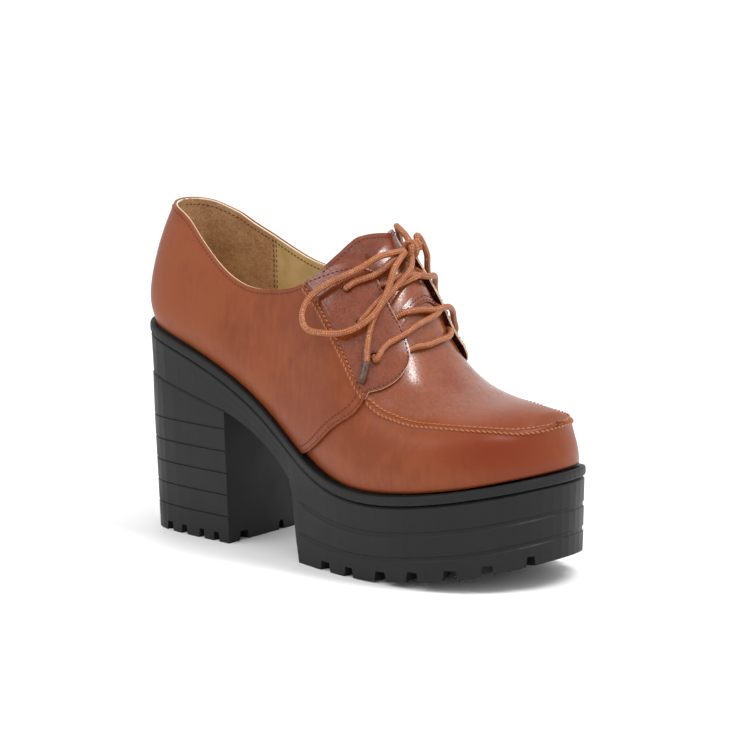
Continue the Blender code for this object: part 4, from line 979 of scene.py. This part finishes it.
def edge_stitches(quarter_top, facings, tongue_top, lining_top, red):
    bm = bmesh.new()
    v = np.linspace(0.02, 0.97, 60)
    collar_line = np.linspace(0.0, JUNCTION, 160)
    s = np.linspace(0.0, 1.0, 80)
    for side in (-1, 1):
        edge, back = side_point(side, QUARTER_FRONT, v), side_point(side, QUARTER_FRONT - 0.03, v)
        for distance in EDGE_ROWS:
            stitch_row(bm, beside(edge, back, distance), quarter_top, *FINE)
        edge = side_point(side, collar_line, 1.0)
        row = beside(edge, side_point(side, collar_line, INWARD), COLLAR_ROW)
        stitch_row(bm, row, quarter_top, *FINE)
        # Front, top and lower edge of the facing, each with a line further in.
        for edge, inner in (((np.ones(80), s), (np.full(80, 0.9), s)), ((s, np.zeros(80)), (s, np.full(80, 0.1))),
                            ((s, np.ones(80)), (s, np.full(80, 0.9)))):
            row = beside(facing_point(side, *edge), facing_point(side, *inner), FACING_ROW)
            stitch_row(bm, row, facings[side], *FINE)
    t = np.linspace(-0.88, 0.88, 80)
    row = beside(tongue_point(np.ones(80), t), tongue_point(np.full(80, 0.9), t), TONGUE_ROW)
    stitch_row(bm, row, tongue_top, *FINE)
    t = t * 0.55
    for distance in FOOT_ROWS:
        row = beside(tongue_point(np.zeros(80), t), tongue_point(np.full(80, 0.08), t), distance)
        stitch_row(bm, row, tongue_top, *FINE)
    inner_collar = collar_line[:-8]
    edge = side_point(1, inner_collar, 1.0)
    row = beside(edge, side_point(1, inner_collar, INWARD), LINING_ROW)
    stitch_row(bm, row, lining_top, *COLLAR_FINE)
    line = side_point(1, *along(LINING_SEAM)(np.linspace(0, 1, 60)).T)
    for shift in JOIN_ROWS:
        stitch_row(bm, line + np.array([shift, 0, 0]), lining_top, *JOIN_FINE)
    finish_piece("edge_stitches", bm, [red])


# Laces

CORD_STEP, CORD_SIDES = 0.0008, 12
CORD_START = (0.31, 0.2, 0.93)   # the cord's first side faces away from this
# Hidden and shared runs of the lace, with the columns of BAR.
NEAR_BOTTOM = ((0.672, -0.50, 0.10), (0.656, -0.66, -0.10), (0.641, -0.775, -0.10), (0.6395, -0.782, 0.55))
TO_FAR_MIDDLE = (
    (0.661, 0.20, 0.95), (0.654, 0.34, 0.45), (0.640, 0.50, -0.05), (0.618, 0.66, -0.10),
    (0.601, 0.765, -0.10), (0.5995, 0.772, 0.70))
TO_NEAR_TOP = (
    (0.612, -0.33, 0.70), (0.600, -0.44, 0.10), (0.577, -0.60, -0.10), (0.561, -0.725, -0.10),
    (0.5585, -0.735, 0.60))
FAR_BOTTOM = ((0.640, 0.77, -0.10), (0.655, 0.62, -0.10), (0.668, 0.47, 0.15))
TO_NEAR_MIDDLE = ((0.638, -0.47, 0.00), (0.620, -0.62, -0.10), (0.601, -0.765, -0.10), (0.5995, -0.772, 0.60))
OVER_FACING = ((0.601, -0.755, 1.10), (0.606, -0.66, 1.15), (0.611, -0.55, 1.15), (0.615, -0.45, 1.05))
TO_FAR_TOP = (
    (0.628, 0.14, 0.80), (0.618, 0.30, 0.45), (0.600, 0.45, 0.00), (0.575, 0.62, -0.10),
    (0.559, 0.725, -0.10), (0.558, 0.735, 0.60), (0.562, 0.69, 1.15), (0.574, 0.52, 1.35),
    (0.588, 0.34, 1.60), (0.600, 0.14, 2.00))
OUTER_HALF = (FAR_BOTTOM + BAR[::-1] + NEAR_BOTTOM + LOWER_STRANDS[0] + TO_FAR_MIDDLE + UPPER_STRANDS[1][::-1]
              + TO_NEAR_TOP + HOLE_STRAND + ((0.600, -0.16, 2.00),))
INNER_HALF = (((0.640, 0.775, -0.10), (0.6395, 0.782, 0.60)) + LOWER_STRANDS[1][::-1] + TO_NEAR_MIDDLE
              + OVER_FACING + UPPER_STRANDS[0] + TO_FAR_TOP)


def lace_line(rows):
    """Smooth line through a table of lace positions."""
    rows = np.array(rows, float)
    p, n = instep_frame(rows[:, 0] * LENGTH, rows[:, 1])
    p = p + n * (rows[:, 2] * LACE_DIAMETER)[:, None]
    s = np.concatenate([[0], np.cumsum(np.sqrt(np.linalg.norm(np.diff(p, axis=0), axis=1)))])
    return spline(s, p)(np.linspace(0, s[-1], 40 * len(rows)))


def knot_line():
    """Two turns of cord round a line that lies across the tongue."""
    p, n = (q[0] for q in instep_frame(np.array([KNOT[0] * LENGTH]), np.array([KNOT[1]])))
    across = np.array(KNOT_WAY)
    across = across - n * (across @ n)
    across /= np.linalg.norm(across)
    ahead = np.cross(across, n)
    turn = np.linspace(-2.0 * math.pi, 2.0 * math.pi, 160)
    ring = np.cos(turn)[:, None] * n + np.sin(turn)[:, None] * ahead
    shift = turn / (2 * math.pi) * KNOT_PITCH
    return p + n * KNOT[2] * LACE_DIAMETER + KNOT_RADIUS * ring + shift[:, None] * across


def tube(name, line, diameter, finish, replaces, ends=(1.0, 1.0)):
    """Round cord along a line. Its ends narrow to these shares of its width. Returns the piece and its path."""
    points = evenly(line, CORD_STEP)
    n = len(points)
    run = float(np.sum(np.linalg.norm(np.diff(points, axis=0), axis=1)))
    way = np.gradient(points, axis=0)
    way /= np.linalg.norm(way, axis=1)[:, None]
    out = np.cross(way[0], CORD_START)
    frames = []
    for w in way:
        out = out - w * (out @ w)
        out /= np.linalg.norm(out)
        frames.append((out, np.cross(w, out)))
    frames = np.array(frames)
    narrow = np.interp(np.arange(n), (0, 2, n - 3, n - 1), (ends[0], 1.0, 1.0, ends[1]))

    def place(a, b):
        k = np.rint(a * (n - 1)).astype(int)
        turn = (2 * math.pi * b)[:, None]
        return points[k] + (diameter / 2 * narrow[k])[:, None] * (
            np.cos(turn) * frames[k, 0] + np.sin(turn) * frames[k, 1])
    bm = bmesh.new()
    patch(bm, n - 1, CORD_SIDES, place, run)
    bmesh.ops.remove_doubles(bm, verts=bm.verts, dist=MERGE)
    bmesh.ops.holes_fill(bm, edges=[e for e in bm.edges if e.is_boundary], sides=0)
    bmesh.ops.recalc_face_normals(bm, faces=bm.faces)
    piece = finish_piece(name, bm, [finish], replaces, 60.0)
    return piece, points - MIDDLE, run


def lace(name, line, replaces, finish):
    piece, path, run = tube(name, line, LACE_DIAMETER, finish, replaces)


def laces(finish, film):
    lace("lace_outer_half", lace_line(OUTER_HALF), [
        "lace_bar", "lace_crossing_lower", "lace_crossing_upper", "lace_from_hole"], finish)
    lace("lace_inner_half", lace_line(INNER_HALF), [
        "lace_crossing_lower", "lace_crossing_upper"], finish)
    lace("lace_knot_turns", knot_line(), ["lace_knot"], finish)
    loop = ((0.600, -0.10, 2.40),) + OUTER_LOOP + ((0.602, -0.10, 2.50),)
    lace("lace_outer_loop", lace_line(loop), ["lace_loop_outer"], finish)
    loop = ((0.600, 0.00, 2.50),) + INNER_LOOP + ((0.604, 0.10, 2.50),)
    lace("lace_inner_loop", lace_line(loop), ["lace_loop_inner"], finish)
    end = lace_line(((0.606, -0.02, 2.10),) + FREE_END)
    p, n = (q[0] for q in instep_frame(np.array([AGLET_END[0] * LENGTH]), np.array([AGLET_END[1]])))
    way = p + n * FREE_END[-1][2] * LACE_DIAMETER - end[-1]
    way /= np.linalg.norm(way)
    line = end[-1] + way * (np.linspace(0, AGLET_LENGTH, 20)[:, None] - 0.0005)
    aglet = tube("aglet_tip", line, AGLET_DIAMETER, film, ["aglet"], (0.9, 0.7))[0]
    lace("lace_end", end, ["lace_free_end"], finish)


# Camera, light and floor

AZIMUTH, ELEVATION, ROLL = 39.55, 10.15, -0.62
DISTANCE, AIM, LENS, SENSOR = 1.3, (0.1318, 0.0, 0.0851), 134.0, 36.0
FLOOR_SIZE, WORLD_STRENGTH = 40.0, 1.06
# Name, place, target, size and power of each lamp.
LAMPS = (
    ("key", (-0.4, -0.9, 1.2), (0.0, 0.0, 0.08), (0.9, 0.7), 4.5),
    ("strip", (0.64, 0.12, 1.11), (0.02, 0.0, 0.09), (0.20, 0.62), 8.5))


def stage(finish):
    floor = bmesh.new()
    bmesh.ops.create_grid(floor, x_segments=1, y_segments=1, size=FLOOR_SIZE)
    mesh = bpy.data.meshes.new("floor")
    floor.to_mesh(mesh)
    floor.free()
    ob = bpy.data.objects.new("floor", mesh)
    bpy.context.scene.collection.objects.link(ob)
    mesh.materials.append(finish)
    world = bpy.data.worlds.new("studio")
    bpy.context.scene.world = world
    world.use_nodes = True
    inputs = world.node_tree.nodes["Background"].inputs
    inputs["Color"].default_value = (1.0, 1.0, 1.0, 1.0)
    inputs["Strength"].default_value = WORLD_STRENGTH


def light(name, place, target, size, power):
    data = bpy.data.lights.new(name, "AREA")
    data.shape = "RECTANGLE"
    data.size, data.size_y = size
    data.energy = power
    ob = bpy.data.objects.new(name, data)
    ob.location = place
    ob.rotation_euler = (Vector(target) - Vector(place)).to_track_quat("-Z", "Y").to_euler()
    bpy.context.scene.collection.objects.link(ob)


def camera():
    """The photograph's view: from the toe's outer side, a little from above."""
    azimuth, elevation, roll = (math.radians(d) for d in (AZIMUTH, ELEVATION, ROLL))
    target = Vector(AIM) - Vector(MIDDLE)
    level = Vector((math.cos(azimuth), math.sin(azimuth), 0.0))
    ahead = Vector((math.sin(azimuth), -math.cos(azimuth), 0.0))
    back = ahead * math.cos(elevation) + Vector((0.0, 0.0, math.sin(elevation)))
    up = back.cross(level)
    right = math.cos(roll) * level + math.sin(roll) * up
    up = -math.sin(roll) * level + math.cos(roll) * up
    data = bpy.data.cameras.new("camera")
    data.lens = LENS
    data.sensor_width = SENSOR
    ob = bpy.data.objects.new("camera", data)
    turn = Matrix((right, up, back)).transposed().to_4x4()
    ob.matrix_world = Matrix.Translation(target + back * DISTANCE) @ turn
    bpy.context.scene.collection.objects.link(ob)
    bpy.context.scene.camera = ob


def paint(node, finish):
    """Gives a CAD node its finish."""
    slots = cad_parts[node].data.materials
    slots.clear()
    slots.append(finish)


camera()
laces(lace_finish(), aglet_finish())
BROWN = leather("brown_leather", (0.225, 0.052, 0.013), (0.180, 0.038, 0.009), 0.40, 0.25)
GLOSS = leather("glossy_brown_leather", (0.185, 0.036, 0.008), (0.135, 0.024, 0.005), 0.36, 0.25)
BLACK = rubber("black_rubber", (0.0085, 0.0087, 0.0093), 0.22)
BEIGE = lining_finish()
RAW = raw_edge_finish()
quarter_top, vamp_top = quarter(BROWN), vamp(BROWN)
facings = {
    side: facing(name, side, GLOSS, RAW) for side, name in ((-1, "facing_outer"), (1, "facing_inner"))}
tongue_top, lining_top = tongue(GLOSS, RAW), lining(BEIGE)
tan, red = thread_finish("tan_thread", (0.42, 0.125, 0.035)), thread_finish("red_thread", (0.115, 0.020, 0.006))
seam_stitches(quarter_top, vamp_top, facings, tan)
edge_stitches(quarter_top, facings, tongue_top, lining_top, red)
for node in ("rim_board", "platform_sole", "heel_block"):
    paint(node, BLACK)
paint("insole", BEIGE)
bpy.context.scene.view_settings.view_transform = "Standard"
stage(floor_finish())
for lamp in LAMPS:
    light(*lamp)
